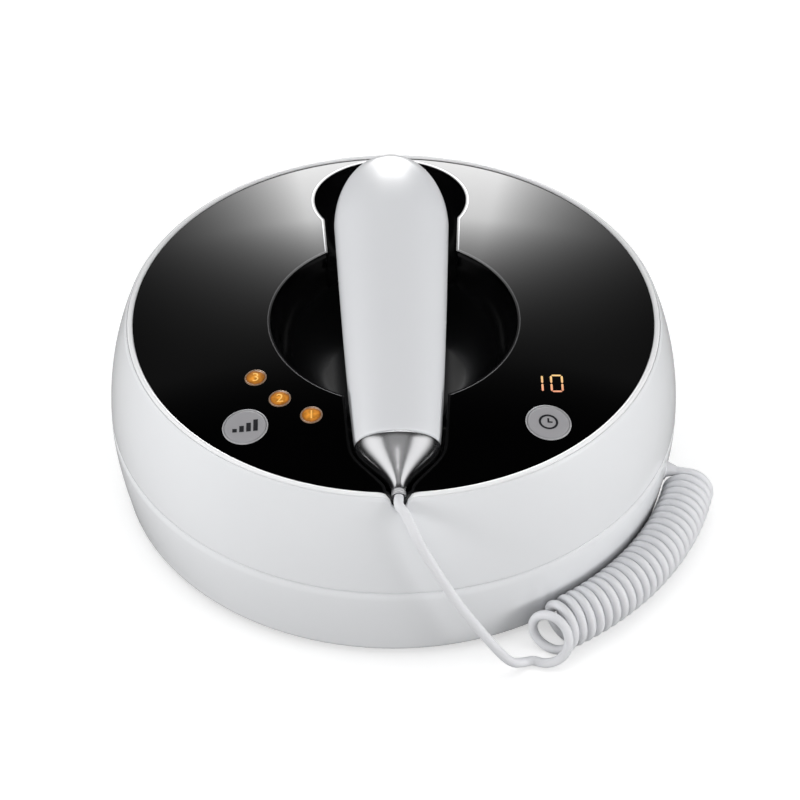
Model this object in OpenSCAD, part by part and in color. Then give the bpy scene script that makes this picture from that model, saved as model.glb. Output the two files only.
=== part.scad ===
// Facial toning device: a round base that docks a handset on a curly cord.
// Millimetres. The origin is the centre of the base on the table, +Z up.
// The handset lies along Y, its cable end towards -Y, over the user's buttons.

/* [Base] */
// Radius of the base at its belly
belly_r = 101.8; // [101:0.2:103]
// Height of the belly above the table
belly_z = 29; // [26:0.5:32]
// Radius of the white shell where it meets the rim trim
rim_r = 94.4; // [94.2:0.1:95]
// Radius of the underside
foot_r = 97.8; // [96:0.2:98.2]
// Height of the line between the two shells
seam_z = 33; // [32:0.5:36]
// Height of the edge of the black top
rim_z = 70.5; // [70:0.1:71.5]
// Wall of the shells
wall = 2.6; // [2.2:0.1:3]
// Gap that the feet leave under the shell
foot_h = 1.5; // [1.2:0.1:2]

/* [Top] */
// Radius of the domed black top
panel_r = 91.8; // [91.4:0.1:91.9]
// Rise of the dome
panel_rise = 7.9; // [7:0.1:9]
// Thickness of the top
panel_t = 3; // [2.6:0.1:3.2]

/* [Cradle] */
// Radius of the finger bowl in the middle
bowl_r = 43.3; // [42:0.1:44]
// How far behind the centre the finger bowl lies (in front when below nought)
bowl_y = -9.6; // [-11:0.1:-9]
// Height of the finger bowl's floor
bowl_floor = 51; // [48:0.5:53]
// Radius of the bowl behind it, under the treatment head
rear_r = 28; // [27:0.1:28.4]
// Centre of the rear bowl
rear_y = 62; // [61:0.1:62.4]
// Height of the rear bowl's floor
rear_floor = 50; // [47:0.5:52]
// Floor of the slot that holds the handset's tail
slot_floor = 59.5; // [57:0.5:60]
// Wall of the cradle moulding
tray_t = 2; // [1.6:0.1:2.2]

/* [Buttons and lamps] */
// Radius of a button cap
button_r = 6.9; // [6:0.1:7]
// How far a button moves
button_travel = 0.6; // [0.4:0.1:0.6]
// Distance of the buttons from the middle of the finger bowl
button_ring = 72.2; // [71:0.1:73]
// Distance of the lamps from the middle of the finger bowl
lamp_ring = 55.8; // [55:0.1:57]
// Radius of a lamp lens
lamp_r = 3.2; // [3:0.1:3.4]
// Angle between two lamps
lamp_step = 14; // [13:0.5:15]

/* [Handset] */
// Tilt of the handset, head end up
tilt = 5; // [4.5:0.1:5.5]
// Distance from the cable end to the white body
cone_end = 22.4; // [22:0.1:23]
// Distance from the cable end to the widest place
head_s = 130; // [128:0.5:132]
// Length of the rounded head past the widest place
head_len = 36.5; // [35:0.5:38]
// Half width of the body at the cone
tail_w = 14.5; // [14:0.1:14.8]
// Half width at the head
head_w = 20.6; // [20:0.1:21]
// Radius of the treatment plate
plate_r = 15; // [14:0.1:15.2]

/* [Cord] */
// Diameter of the cord
cord_d = 3.3; // [3.1:0.1:3.3]
// Outer diameter of the curls
coil_od = 18.4; // [18:0.1:18.4]
// Turns of the curly stretch after its opened end
coil_turns = 23.5; // [21.5:1:23.5]
// Distance from one turn to the next
coil_pitch = 3.55; // [3.55:0.05:3.6]

/* [Hidden] */
$fn = 120;
eps = 0.02;
gap = 0.3;
// free space between parts that lie against each other
touch = 0.1;

// outer line of the shells: the belly closes slowly upward, sooner below
function shell_r(z) = z > belly_z
  ? belly_r - (belly_r - rim_r) * pow((z - belly_z) / (rim_z - belly_z), 2.2)
  : belly_r - (belly_r - foot_r) * pow((belly_z - z) / (belly_z - foot_h), 1.5);
corner_r = 3;
seam_v = 0.6;
tongue_h = 2;
tongue_w = 1.2;
floor_z = foot_h + wall;
above = 2 * rim_z;

// dome of the black top: a sphere through the panel's edge
dome_r = (panel_r * panel_r + panel_rise * panel_rise) / (2 * panel_rise);
dome_cz = rim_z + panel_rise - dome_r;
function dome_z(p) = dome_cz + sqrt(dome_r * dome_r - p[0] * p[0] - p[1] * p[1]);

// rim trim and the ledge that carries the top
trim_in = panel_r + touch;
trim_out = 93.9;
trim_low = rim_z - 4.5;
trim_up = 0.7;
ledge_in = 88.4;
ledge_t = 2.4;
ledge_slope = 3;

// bowls and slot
bowl_fillet = 20;
rear_fillet = 14;
lip_w = 0.9;
lip_up = 0.25;
lip_h = 12;
flange_w = 5;
flange_t = 1.6;
neck_floor = 62;
neck_y = 31;
// the slot: place along Y and half width, curved up to the eighth place, then straight
slot_line = [[-96, 4.2], [-90, 4.3], [-86.7, 6.2], [-82.5, 9.8], [-79, 12.7], [-76, 14.6],
  [-72, 15.9], [-62.3, 16.7], [-49.4, 17.5], [26.6, 23.1], [48.2, 24.3]];
slot_curved = 7;
slot_steps = 3;

// notch where the cable leaves over the rim
notch_r = 2.8;
notch_mouth = 5;
notch_from = -84;

// rests for the handset
front_pad = [26, 9, 5.5];
front_pad_y = -66;
rear_pad = [30, 2.6, 9];

// buttons and lamps lie on circles round the finger bowl
function round_bowl(p) = [p[0] * cos(p[1]), bowl_y + p[0] * sin(p[1])];
level_a = 225;
time_a = 315;
level_at = round_bowl([button_ring, level_a]);
time_at = round_bowl([button_ring, time_a]);
lamp_at = [for (i = [-1:1]) round_bowl([lamp_ring, level_a - lamp_step * i])];
button_up = 0.4;
button_flange_r = 8.4;
button_flange_t = 0.8;
button_low = 66.9;
button_rim_in = button_r + gap;
button_rim_out = 7.8;
rim_up = 0.25;
rim_under = 0.4;
lamp_up = 0.2;
lamp_rim_w = 0.6;
pipe_r = 2.4;

// boards under the front of the top, drawn for the left one, mirrored for the right one
board_t = 1.6;
board_z = 60;
board_in = 49.5;
board_out = 79;
board_a = [203, 243];
board_edge = 85.5;
post_r = 2.4;
post_hole_r = 0.8;
post_at = [for (p = [[74, 210], [72, 240]]) round_bowl(p)];
switch_w = 6;
switch_h = 3.5;
switch_pin_r = 1.7;
switch_clear = button_travel + gap;
led_r = 1.8;
led_base_h = 1.2;
led_h = 2.2;
display_at = [53, -42.5];
display_size = [14, 11];

// handset, in its own frame: s runs from the cable end to the head, n up
tip_at = [0, -92.3, 69];
tail_up = 8.2;
tail_low = 8.8;
head_up = 13;
head_low = 12.2;
body_s = cone_end + gap;
skin_t = 2;
split_n = -1;
split_low = split_n - touch;
ring_sides = 28;
body_rings = 8;
head_rings = 8;
hollow_sides = 12;
hollow_rings = 4;
rib_at = [66, 112];
rib_size = [16, 3];
handset_board_s = 60;
handset_board_size = [18, 62];

// cone and ferrule
ferrule_r = 2.5;
ferrule_l = 2;
cone_rings = 12;
cone_wall = 1.4;
cone_solid = 6;
wire_r = 1.1;

// treatment head under the rounded end
plate_s = 146;
plate_low = -20;
plate_h = 6;
plate_edge = [[1, 0], [0.2, 0.5], [0, 1.3]];
collar_w = 2.4;
collar_low = plate_low + 1;
neck_r = plate_r + 1;
neck_top = -3;
seat_w = 1.6;
electrode_count = 6;
electrode_ring = 9.8;
electrode_r = 2.7;
electrode_h = 1.6;
electrode_stem_r = 2.1;
electrode_stem = 3.5;
sensor_r = 1.5;
sensor_h = 3.2;
sensor_out = 0.6;

// screws, feet and vents of the base
screw_ring = 87;
shell_screw_at = [for (a = [50, 130, 190, 350]) screw_ring * [cos(a), sin(a)]];
screw_boss_r = 4;
screw_meet_z = 31;
screw_r = 1.1;
screw_free_r = 1.7;
screw_head_r = 2.3;
screw_head_h = 2;
screw_head_z = 7;
screw_l = 32;
socket_r = 1;
socket_deep = 1;
foot_ring = 78;
foot_at = [for (a = [45, 135, 225, 315]) foot_ring * [cos(a), sin(a)]];
foot_pad_r = 8;
foot_sink = 1;
vent_size = [2.5, 20];
vent_y = -54;
vent_step = 7;

// power parts on the floor board
main_board = [96, 64];
main_board_z = 12;
main_board_y = -4;
main_post_r = 3.4;
main_hole_r = 1.2;
main_post_at = [for (x = [-1, 1]) for (y = [-1, 1])
  [x * (main_board[0] / 2 - 6), main_board_y + y * (main_board[1] / 2 - 6)]];
on_board = main_board_z + board_t;
core_at = [-34, -24];
core_size = [28, 24, 20];
core_plate = 4;
bobbin_in = 3;
window = [6, 5, 6];
sink_at = [12, 4];
sink_back = [26, 3, 22];
fin_size = [2, 9, 22];
fin_count = 6;
choke_at = [6, -22];
choke_r = 7;
choke_wire_r = 4;
buzzer_at = [30, -20];
buzzer_r = 6;
buzzer_h = 8;

// power inlet at the back
jack_z = 17;
jack_size = [11, 14, 9];
jack_back = 1.2;
jack_y = shell_r(jack_z) - wall - jack_back - jack_size[1];
jack_hole_r = 4;
jack_nose_r = 3.9;
jack_nose_l = 8;
jack_bore_r = 2.8;
jack_pin_r = 1;
jack_deep = 11;

// cord: an unbroken helix beside the base, its first turns opened, bent outward and leaning back
coil_r = (coil_od - cord_d) / 2;
coil_z = coil_od / 2 + touch;
coil_path_r = 109.2;
coil_start = -58;
hook_turns = 2;
hook_angle = 38;
hook_lean = 25;
hook_pitch = 6.4;
hook_r = hook_turns * hook_pitch / (hook_angle * PI / 180);
coil_steps = 12;
coil_sides = 6;
lead_sides = 8;
lead_steps = 3;
lead_route = [[0, -95.9, 68.7], [2, -98.6, 67], [6, -104.6, 61], [11.5, -108.6, 51.5],
  [19.5, -111.3, 37.5], [28, -111.8, 23.5], [34.5, -110.8, 12.5], [38.5, -108.2, 6], [42, -105.3, 2.8]];

// gland where the cord enters the base
gland_bore_r = 0.9;
gland_neck_r = 3.2;
gland_taper_r = 2.8;
gland_collar_r = 3.9;
gland_collar_t = 1;
gland_flange_r = 4.8;
gland_flange_t = 2;

// ---------- shared lines and shapes ----------

function unit(v) = v / norm(v);

// point at t between b and c on the smooth curve through a, b, c and d
function through(a, b, c, d, t) = 0.5 * ((2 * b) + (c - a) * t + (2 * a - 5 * b + 4 * c - d) * t * t
  + (3 * b - a - 3 * c + d) * t * t * t);

// heights from low to high in n steps, as [radius, height] of the shell set in by d
function shell_line(low, high, n, d) = [for (i = [0:n]) let (z = low + (high - low) * i / n)
  [shell_r(z) - d, z]];

function reversed(p) = [for (i = [len(p) - 1:-1:0]) p[i]];

module place(p, z) {
  translate([p[0], p[1], z]) children();
}

// solid under the dome, raised by h
module under_dome(h) {
  rotate_extrude($fn = 360)
    intersection() {
      translate([0, dome_cz]) circle(r = dome_r + h, $fn = 720);
      square([belly_r, above]);
    }
}

// edge of the slot with its front curve filled in
slot_edge = concat([for (i = [0:slot_curved - 1]) for (k = [0:slot_steps - 1])
    through(slot_line[max(0, i - 1)], slot_line[i], slot_line[i + 1], slot_line[i + 2], k / slot_steps)],
  [for (i = [slot_curved:len(slot_line) - 1]) slot_line[i]]);

// plan of the slot, and of slot and bowls together, grown by g
module slot_plan(g) {
  right = [for (p = slot_edge) [p[1] + g, p[0]]];
  polygon(concat(right, [for (p = reversed(right)) [-p[0], p[1]]]));
}

module recess_plan(g) {
  translate([0, bowl_y]) circle(r = bowl_r + g);
  translate([0, rear_y]) circle(r = rear_r + g);
  slot_plan(g);
}

// bowl with a rounded floor corner, standing from its floor to high above the base
module bowl(r, fillet) {
  rotate_extrude() {
    square([r - fillet, rim_z]);
    translate([0, fillet]) square([r, rim_z - fillet]);
    translate([r - fillet, fillet])
      intersection() {
        circle(r = fillet);
        translate([-eps, -fillet]) square([fillet + eps, fillet + eps]);
      }
  }
}

// the hollow of the cradle, grown by g on every side
module cradle_space(g) {
  translate([0, bowl_y, bowl_floor - g]) bowl(bowl_r + g, bowl_fillet + g);
  translate([0, rear_y, rear_floor - g]) bowl(rear_r + g, rear_fillet + g);
  difference() {
    translate([0, 0, slot_floor - g]) linear_extrude(rim_z) slot_plan(g);
    translate([-belly_r, 0, 0]) cube([2 * belly_r, belly_r, neck_floor - g]);
  }
}

// closed skin through rings of equal length, flat at both ends, triangles between
module skin(rings) {
  n = len(rings[0]);
  m = len(rings);
  sides = [for (i = [0:m - 2]) for (j = [0:n - 1]) let (k = (j + 1) % n)
    each [[i * n + j, i * n + k, (i + 1) * n + k], [i * n + j, (i + 1) * n + k, (i + 1) * n + j]]];
  first = [for (j = [n - 1:-1:0]) j];
  last = [for (j = [0:n - 1]) (m - 1) * n + j];
  polyhedron(points = [for (r = rings) each r], faces = concat(sides, [first, last]), convexity = 8);
}

// ---------- handset lines ----------

function rise(s) = pow(min(1, max(0, (s - body_s) / (head_s - body_s))), 0.8);
function closing(s, d) = s <= head_s ? 1 : sqrt(max(0, 1 - pow((s - head_s) / (head_len - d), 2)));
function half_w(s, d) = (tail_w + (head_w - tail_w) * rise(s) - d) * closing(s, d);
function half_up(s, d) = (tail_up + (head_up - tail_up) * rise(s) - d) * closing(s, d);
function half_low(s, d) = (tail_low + (head_low - tail_low) * rise(s) - d) * closing(s, d);

// one cross-section at s, set in by d, seen from the cable end
function section(s, d, n) = [for (i = [0:n - 1]) let (a = 360 * i / n)
  [half_w(s, d) * cos(a), s, (sin(a) > 0 ? half_up(s, d) : half_low(s, d)) * sin(a)]];

// places of the cross-sections: even along the body, by angle round the head
last_angle = 82;
function stations(from, d, n, m) = concat(
  [for (i = [0:n - 1]) from + (head_s - from) * i / n],
  [for (i = [0:m]) head_s + (head_len - d) * sin(last_angle * i / m)]);

module handset_form(d) {
  skin([for (s = stations(body_s, d, body_rings, head_rings)) section(s, d, ring_sides)]);
}

// the cone swells from the ferrule to the body on half a cosine wave
function swell(s) = (1 - cos(180 * (s - ferrule_l) / (cone_end - ferrule_l))) / 2;
function cone_section(s, d, n) = [for (i = [0:n - 1]) let (a = 360 * i / n, b = swell(s))
  [(ferrule_r + (tail_w - ferrule_r) * b - d) * cos(a), s,
   (ferrule_r + ((sin(a) > 0 ? tail_up : tail_low) - ferrule_r) * b - d) * sin(a)]];

module cone_form(from, to, m, d, n) {
  skin([for (i = [0:m]) cone_section(from + (to - from) * i / m, d, n)]);
}

module in_handset() {
  translate(tip_at) rotate([tilt, 0, 0]) children();
}

module at_plate(n) {
  in_handset() translate([0, plate_s, n]) children();
}

// ---------- cord lines ----------

// middle of the curl that starts n turns from the opened end, and its side away from the base
hook_centre = (coil_path_r + hook_r) * [cos(coil_start), sin(coil_start)];
function path_a(n) = n < hook_turns
  ? coil_start + 180 + hook_angle * (1 - n / hook_turns)
  : coil_start + (n - hook_turns) * coil_pitch / coil_path_r * 180 / PI;
function path_at(n) = n < hook_turns
  ? hook_centre + hook_r * [cos(path_a(n)), sin(path_a(n))]
  : coil_path_r * [cos(path_a(n)), sin(path_a(n))];
function path_right(n) = (n < hook_turns ? -1 : 1) * [cos(path_a(n)), sin(path_a(n)), 0];
// the first turns lean back, so their tops lie nearer the next turns than their feet
function path_lean(n) = n < hook_turns ? hook_lean * (1 - n / hook_turns) : 0;
function path_up(n) = cross([0, 0, 1], path_right(n)) * sin(path_lean(n)) + [0, 0, cos(path_lean(n))];
function curl_out(n) = let (a = 360 * n - 90) path_right(n) * cos(a) + path_up(n) * sin(a);
function curl_at(n) = let (p = path_at(n)) [p[0], p[1], coil_z] + coil_r * curl_out(n);

coil_all = coil_turns + hook_turns;
coil_count = round(coil_all * coil_steps);
coil_in = curl_at(0) - cord_d * path_right(0);
coil_out = curl_at(coil_all) - 1.5 * cord_d * path_right(coil_all);
gland_reach = norm([coil_out[0], coil_out[1]]) - shell_r(coil_out[2]);
coil_line = concat([coil_in], [for (i = [0:coil_count]) curl_at(i / coil_steps)], [coil_out]);
coil_side = concat([curl_out(0)], [for (i = [0:coil_count]) curl_out(i / coil_steps)], [[0, 0, 1]]);
coil_head = concat([path_right(0)],
  [for (i = [0:coil_count]) i == 0 ? path_right(0) : i == coil_count ? -path_right(coil_all)
    : unit(curl_at((i + 1) / coil_steps) - curl_at((i - 1) / coil_steps))],
  [-path_right(coil_all)]);

// rings of a tube: points p, headings t, a side vector u at each point
function tube_rings(p, t, u, n) = [for (i = [0:len(p) - 1])
  let (a = unit(u[i] - t[i] * (u[i] * t[i])), b = cross(t[i], a))
  [for (j = [0:n - 1]) p[i] + cord_d / 2 * (a * cos(-360 * j / n) + b * sin(-360 * j / n))]];
coil_rings = tube_rings(coil_line, coil_head, coil_side, coil_sides);

// the free stretch, smooth through its route
lead_dir = [0, -cos(tilt), -sin(tilt)];
lead_up = [-0.3, 0.5, -0.8];
lead_knots = concat([tip_at], lead_route, [coil_in]);
lead_last = len(lead_knots) - 1;
function knot(i) = i < 0 ? lead_knots[0] - lead_dir * cord_d
  : i > lead_last ? coil_in + path_right(0) * cord_d : lead_knots[i];
lead_line = concat([tip_at], [for (i = [1:lead_last - 1]) for (k = [0:lead_steps - 1])
  through(knot(i - 1), knot(i), knot(i + 1), knot(i + 2), k / lead_steps)], [coil_in]);
lead_head = [for (i = [0:len(lead_line) - 1]) i < 2 ? lead_dir
  : i == len(lead_line) - 1 ? path_right(0) : unit(lead_line[i + 1] - lead_line[i - 1])];
lead_rings = tube_rings(lead_line, lead_head, [for (p = lead_line) lead_up], lead_sides);

// least distance between one turn's points and the next turn's, and from the coil to the shell
near_turn = [for (i = [1:coil_count - coil_steps]) for (k = [coil_steps - 2:coil_steps + 2])
  if (i + k <= coil_count + 1)
  min([for (a = coil_rings[i]) min([for (b = coil_rings[i + k]) norm(a - b)])])];
near_shell = [for (i = [1:coil_count]) min([for (a = coil_rings[i])
  norm([a[0], a[1]]) - shell_r(max(foot_h, a[2]))])];
echo(least_gap_between_turns = min(near_turn), least_gap_to_shell = min(near_shell));
echo(lowest_cord_point = min([for (r = coil_rings) min([for (a = r) a[2]])]),
  gland_at = coil_out, coil_in = coil_in);

// ---------- base ----------

module base_lower_shell() {
  side = foot_h + corner_r;
  corner = shell_r(side) - corner_r;
  tongue = shell_r(seam_z) - wall;
  color("white") difference() {
    union() {
      rotate_extrude() polygon(concat([[0, foot_h]],
        [for (a = [-90:15:-15]) [corner + corner_r * cos(a), side + corner_r * sin(a)]],
        shell_line(side, seam_z - seam_v, 9, 0),
        [[shell_r(seam_z) - seam_v, seam_z], [tongue + tongue_w, seam_z],
         [tongue + tongue_w, seam_z + tongue_h], [tongue, seam_z + tongue_h]],
        reversed(shell_line(floor_z + 1, seam_z, 6, wall)),
        [[corner - 1, floor_z], [0, floor_z]]));
      for (p = shell_screw_at) place(p, foot_h + eps)
        cylinder(r = screw_boss_r, h = screw_meet_z - foot_h - eps);
      for (p = main_post_at) place(p, foot_h + eps)
        cylinder(r = main_post_r, h = main_board_z - foot_h - eps);
      translate([-jack_size[0] / 2, jack_y, foot_h + eps])
        cube([jack_size[0], jack_size[1] + 2 * jack_back, jack_z - jack_size[2] / 2 - foot_h - eps]);
    }
    for (p = shell_screw_at) {
      place(p, 0) cylinder(r = screw_free_r, h = above);
      place(p, -1) cylinder(r = screw_head_r + gap, h = screw_head_z + screw_head_h + 1);
    }
    for (p = foot_at) place(p, 0) cylinder(r = foot_pad_r, h = foot_h + foot_sink);
    translate([0, belly_r + 1, jack_z]) rotate([90, 0, 0]) cylinder(r = jack_hole_r, h = wall + 4);
    gland_axis() {
      cylinder(r = gland_neck_r + touch, h = 12);
      cylinder(r = gland_collar_r + touch, h = gland_reach + gland_collar_t);
    }
    for (i = [-3:3]) translate([i * vent_step - vent_size[0] / 2, vent_y, 0])
      cube([vent_size[0], vent_size[1], floor_z + 1]);
  }
}

// along the cord where it enters the shell, from outside in
module gland_axis() {
  translate(coil_out) rotate([0, 0, path_a(coil_all)]) rotate([0, -90, 0]) children();
}

module base_upper_shell() {
  groove = shell_r(seam_z) - wall + tongue_w + touch;
  groove_top = seam_z + tongue_h + 2 * touch;
  under_ledge = trim_low - ledge_t - ledge_slope;
  boss_top = rim_z - panel_t;
  color("white") difference() {
    union() {
      rotate_extrude() polygon(concat([[shell_r(seam_z) - seam_v, seam_z]],
        shell_line(seam_z + seam_v, rim_z - 1, 14, 0),
        [[rim_r - touch, rim_z - 0.2], [trim_out + touch, rim_z - 0.2], [trim_out + touch, trim_low],
         [panel_r, trim_low], [panel_r, boss_top], [ledge_in, boss_top], [ledge_in, boss_top - ledge_t],
         [trim_in - 1, trim_low - ledge_t - 2]],
        reversed(shell_line(groove_top + 2 * touch, under_ledge, 7, wall)),
        [[groove, groove_top], [groove, seam_z]]));
      for (p = shell_screw_at) place(p, screw_meet_z)
        cylinder(r = screw_boss_r, h = boss_top - screw_meet_z);
    }
    translate([0, 0, slot_floor - tray_t - gap])
      linear_extrude(rim_z) intersection() {
        recess_plan(tray_t + 2 * touch);
        circle(r = panel_r + touch);
      }
    cable_notch();
    for (p = shell_screw_at) place(p, 0) cylinder(r = screw_r, h = screw_head_z + screw_l + 5);
  }
}

// round-floored notch whose sides lean out towards the rim
module cable_notch() {
  up = rim_z - tip_at[2];
  translate([0, notch_from, tip_at[2]]) rotate([90, 0, 0]) linear_extrude(belly_r / 4) {
    circle(r = notch_r);
    polygon([[-notch_r, 0], [notch_r, 0], [notch_mouth, up], [notch_mouth + 2, 2 * up + 1],
      [-notch_mouth - 2, 2 * up + 1], [-notch_mouth, up]]);
  }
}

module rim_trim() {
  w = trim_out - trim_in;
  crown = rim_z + trim_up - w / 2;
  color("white") difference() {
    rotate_extrude() {
      translate([trim_in, trim_low]) square([w, crown - trim_low]);
      translate([trim_in + w / 2, crown]) circle(r = w / 2);
    }
    cable_notch();
  }
}

module top_panel() {
  color([0.03, 0.03, 0.04]) difference() {
    union() {
      rotate_extrude($fn = 360) intersection() {
        difference() {
          translate([0, dome_cz]) circle(r = dome_r, $fn = 720);
          translate([0, dome_cz - panel_t]) circle(r = dome_r, $fn = 720);
        }
        square([panel_r, above]);
      }
      intersection() {
        for (p = post_at) for (m = [-1, 1]) place([m * p[0], p[1]], board_z + board_t)
          cylinder(r = post_r, h = rim_z);
        under_dome(-1);
      }
    }
    linear_extrude(above) recess_plan(lip_w + touch);
    for (p = [level_at, time_at]) place(p, board_z + 5) cylinder(r = button_rim_out, h = rim_z);
    for (p = lamp_at) place(p, board_z + 5) cylinder(r = lamp_r + lamp_rim_w, h = rim_z);
  }
}

// bowls and slot in one moulding, with a lip round the opening and a flange under the top
module cradle_tray() {
  under_top = -panel_t - touch;
  color([0.02, 0.02, 0.02]) difference() {
    intersection() {
      union() {
        intersection() {
          cradle_space(tray_t);
          under_dome(under_top);
        }
        intersection() {
          translate([0, 0, rim_z - lip_h]) linear_extrude(rim_z) recess_plan(lip_w);
          under_dome(lip_up);
        }
        difference() {
          intersection() {
            translate([0, 0, rim_z - lip_h]) linear_extrude(rim_z) recess_plan(flange_w);
            under_dome(under_top);
            cylinder(r = ledge_in - 2 * touch, h = above);
          }
          under_dome(under_top - flange_t);
        }
      }
      cylinder(r = panel_r - touch, h = above);
    }
    cradle_space(0);
  }
}

// soft rests: blocks in the slot, hollowed to the handset's underside
module front_rest_pad() {
  rest_pad(front_pad_y, slot_floor, front_pad);
}

module rear_rest_pad() {
  rest_pad(neck_y + 0.6, neck_floor, rear_pad);
}

module rest_pad(y, low, size) {
  color([0.15, 0.15, 0.16]) difference() {
    translate([-size[0] / 2, y, low]) cube(size);
    in_handset() handset_form(-gap);
  }
}

// ---------- buttons, lamps, boards ----------

// cap with a flange that stays under the top
module button(p) {
  color([0.6, 0.61, 0.63]) intersection() {
    place(p, button_low) union() {
      cylinder(r = button_r, h = rim_z);
      cylinder(r = button_flange_r, h = button_flange_t);
    }
    under_dome(button_up);
  }
}

module level_button() button(level_at);
module time_button() button(time_at);

// ring that stands in a hole of the black top
module panel_ring(p, r_in, r_out) {
  color([0.75, 0.75, 0.76]) difference() {
    intersection() {
      place(p, dome_z(p) - panel_t - rim_under) cylinder(r = r_out, h = rim_z);
      under_dome(rim_up);
    }
    place(p, 0) cylinder(r = r_in, h = above);
  }
}

module level_button_rim() panel_ring(level_at, button_rim_in, button_rim_out);
module time_button_rim() panel_ring(time_at, button_rim_in, button_rim_out);
module lamp_rim(i) panel_ring(lamp_at[i], lamp_r, lamp_r + lamp_rim_w);

// lens with a light pipe down to its lamp
module lamp_lens(i) {
  p = lamp_at[i];
  color([1, 0.55, 0.1]) intersection() {
    union() {
      place(p, dome_z(p) - panel_t - rim_under) cylinder(r = lamp_r, h = rim_z);
      place(p, board_z + board_t + led_h + gap) cylinder(r = pipe_r, h = 9);
    }
    under_dome(lamp_up);
  }
}

module lamp_led(i) {
  place(lamp_at[i], board_z + board_t) {
    color("white") translate([-led_r, -led_r, 0]) cube([2 * led_r, 2 * led_r, led_base_h]);
    color([1, 0.7, 0.2]) cylinder(r = led_r - 0.4, h = led_h);
  }
}

// sector of a ring under the front of the top, m = 1 left, -1 right
module front_board(m) {
  wedge = [for (i = [0:4]) let (a = board_a[0] + (board_a[1] - board_a[0]) * i / 4)
    belly_r * [cos(a), sin(a)]];
  color([0.1, 0.35, 0.2]) mirror([m < 0 ? 1 : 0, 0, 0]) difference() {
    translate([0, 0, board_z]) linear_extrude(board_t) intersection() {
      translate([0, bowl_y]) difference() {
        circle(r = board_out);
        circle(r = board_in);
      }
      translate([0, bowl_y]) polygon(concat([[0, 0]], wedge));
      circle(r = board_edge);
    }
    for (p = post_at) place(p, 0) cylinder(r = post_hole_r, h = above);
  }
}

module level_board() front_board(1);
module time_board() front_board(-1);

// push switch: body and pin, the pin stays clear of the button's travel
module switch(p) {
  place(p, board_z + board_t) {
    color([0.2, 0.2, 0.2]) translate([-switch_w / 2, -switch_w / 2, 0])
      cube([switch_w, switch_w, switch_h]);
    color([0.8, 0.8, 0.8]) cylinder(r = switch_pin_r, h = button_low - switch_clear - board_z - board_t);
  }
}

module level_switch() switch(level_at);
module time_switch() switch(time_at);

// two-digit lamp block that shines through the dark top
module display_module() {
  color([0.12, 0.05, 0.03]) intersection() {
    place(display_at - display_size / 2, board_z + board_t)
      cube([display_size[0], display_size[1], rim_z]);
    under_dome(-panel_t - 2 * touch);
  }
}

// ---------- inside the base ----------

module main_board_plate() {
  color([0.1, 0.35, 0.2]) difference() {
    place([-main_board[0] / 2, main_board_y - main_board[1] / 2], main_board_z)
      cube([main_board[0], main_board[1], board_t]);
    for (p = main_post_at) place(p, 0) cylinder(r = main_hole_r, h = above);
  }
}

// core plates above and below a wound bobbin, with a window through each side
module transformer() {
  bobbin = [core_size[0] - 2 * bobbin_in, core_size[1] - 2 * bobbin_in, core_size[2]];
  color([0.55, 0.5, 0.3]) place(core_at, on_board) difference() {
    union() {
      for (z = [0, core_size[2] - core_plate]) translate([0, 0, z])
        cube([core_size[0], core_size[1], core_plate]);
      translate([bobbin_in, bobbin_in, 0]) cube(bobbin);
    }
    for (y = [-1, core_size[1] - core_plate]) translate([(core_size[0] - window[0]) / 2, y, 7])
      cube(window);
  }
}

module heat_sink() {
  step = (sink_back[0] - fin_size[0]) / (fin_count - 1);
  color([0.7, 0.7, 0.72]) place(sink_at, on_board) {
    cube(sink_back);
    for (i = [0:fin_count - 1]) translate([i * step, sink_back[1] - 1, 0]) cube(fin_size);
  }
}

module rf_choke() {
  color([0.7, 0.4, 0.15]) place(choke_at, on_board + choke_wire_r) rotate_extrude()
    translate([choke_r, 0]) circle(r = choke_wire_r);
}

module buzzer() {
  color([0.08, 0.08, 0.08]) place(buzzer_at, on_board) difference() {
    cylinder(r = buzzer_r, h = buzzer_h);
    translate([0, 0, buzzer_h - 2]) cylinder(r = 1, h = 3);
  }
}

// block on the floor, nose through the wall, a pin in its bore
module power_jack() {
  face = shell_r(jack_z) - 0.4;
  color([0.1, 0.1, 0.1]) translate([0, 0, jack_z]) difference() {
    union() {
      translate([-jack_size[0] / 2, jack_y, -jack_size[2] / 2])
        cube(jack_size);
      translate([0, face, 0]) rotate([90, 0, 0]) cylinder(r = jack_nose_r, h = jack_nose_l);
    }
    translate([0, face + 1, 0]) rotate([90, 0, 0]) difference() {
      cylinder(r = jack_bore_r, h = jack_deep);
      translate([0, 0, 2]) cylinder(r = jack_pin_r, h = jack_deep);
    }
  }
}

// tapered strain relief: a collar outside, a neck in the wall, a flange inside
module cord_gland() {
  seat = gland_reach + gland_collar_t;
  inside = gland_reach + wall + 1;
  color([0.85, 0.85, 0.87]) gland_axis() rotate_extrude()
    polygon([[gland_bore_r, 0], [cord_d / 2 + touch, 0], [gland_taper_r, gland_reach - 0.4],
      [gland_collar_r, gland_reach + touch], [gland_collar_r, seat], [gland_neck_r, seat],
      [gland_neck_r, inside], [gland_flange_r, inside], [gland_flange_r, inside + gland_flange_t],
      [gland_bore_r, inside + gland_flange_t]]);
}

module foot(i) {
  top = foot_h + foot_sink;
  color([0.12, 0.12, 0.12]) place(foot_at[i], 0) rotate_extrude()
    polygon([[0, 0], [foot_pad_r - 1, 0], [foot_pad_r - 0.5, 0.5], [foot_pad_r - 0.2, foot_h],
      [foot_pad_r - 0.2, top], [0, top]]);
}

module shell_screw(i) {
  color([0.6, 0.6, 0.62]) place(shell_screw_at[i], screw_head_z) difference() {
    union() {
      cylinder(r = screw_head_r, h = screw_head_h);
      cylinder(r = screw_r, h = screw_l);
    }
    translate([0, 0, -eps]) cylinder(r = socket_r, h = socket_deep, $fn = 6);
  }
}

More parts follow.
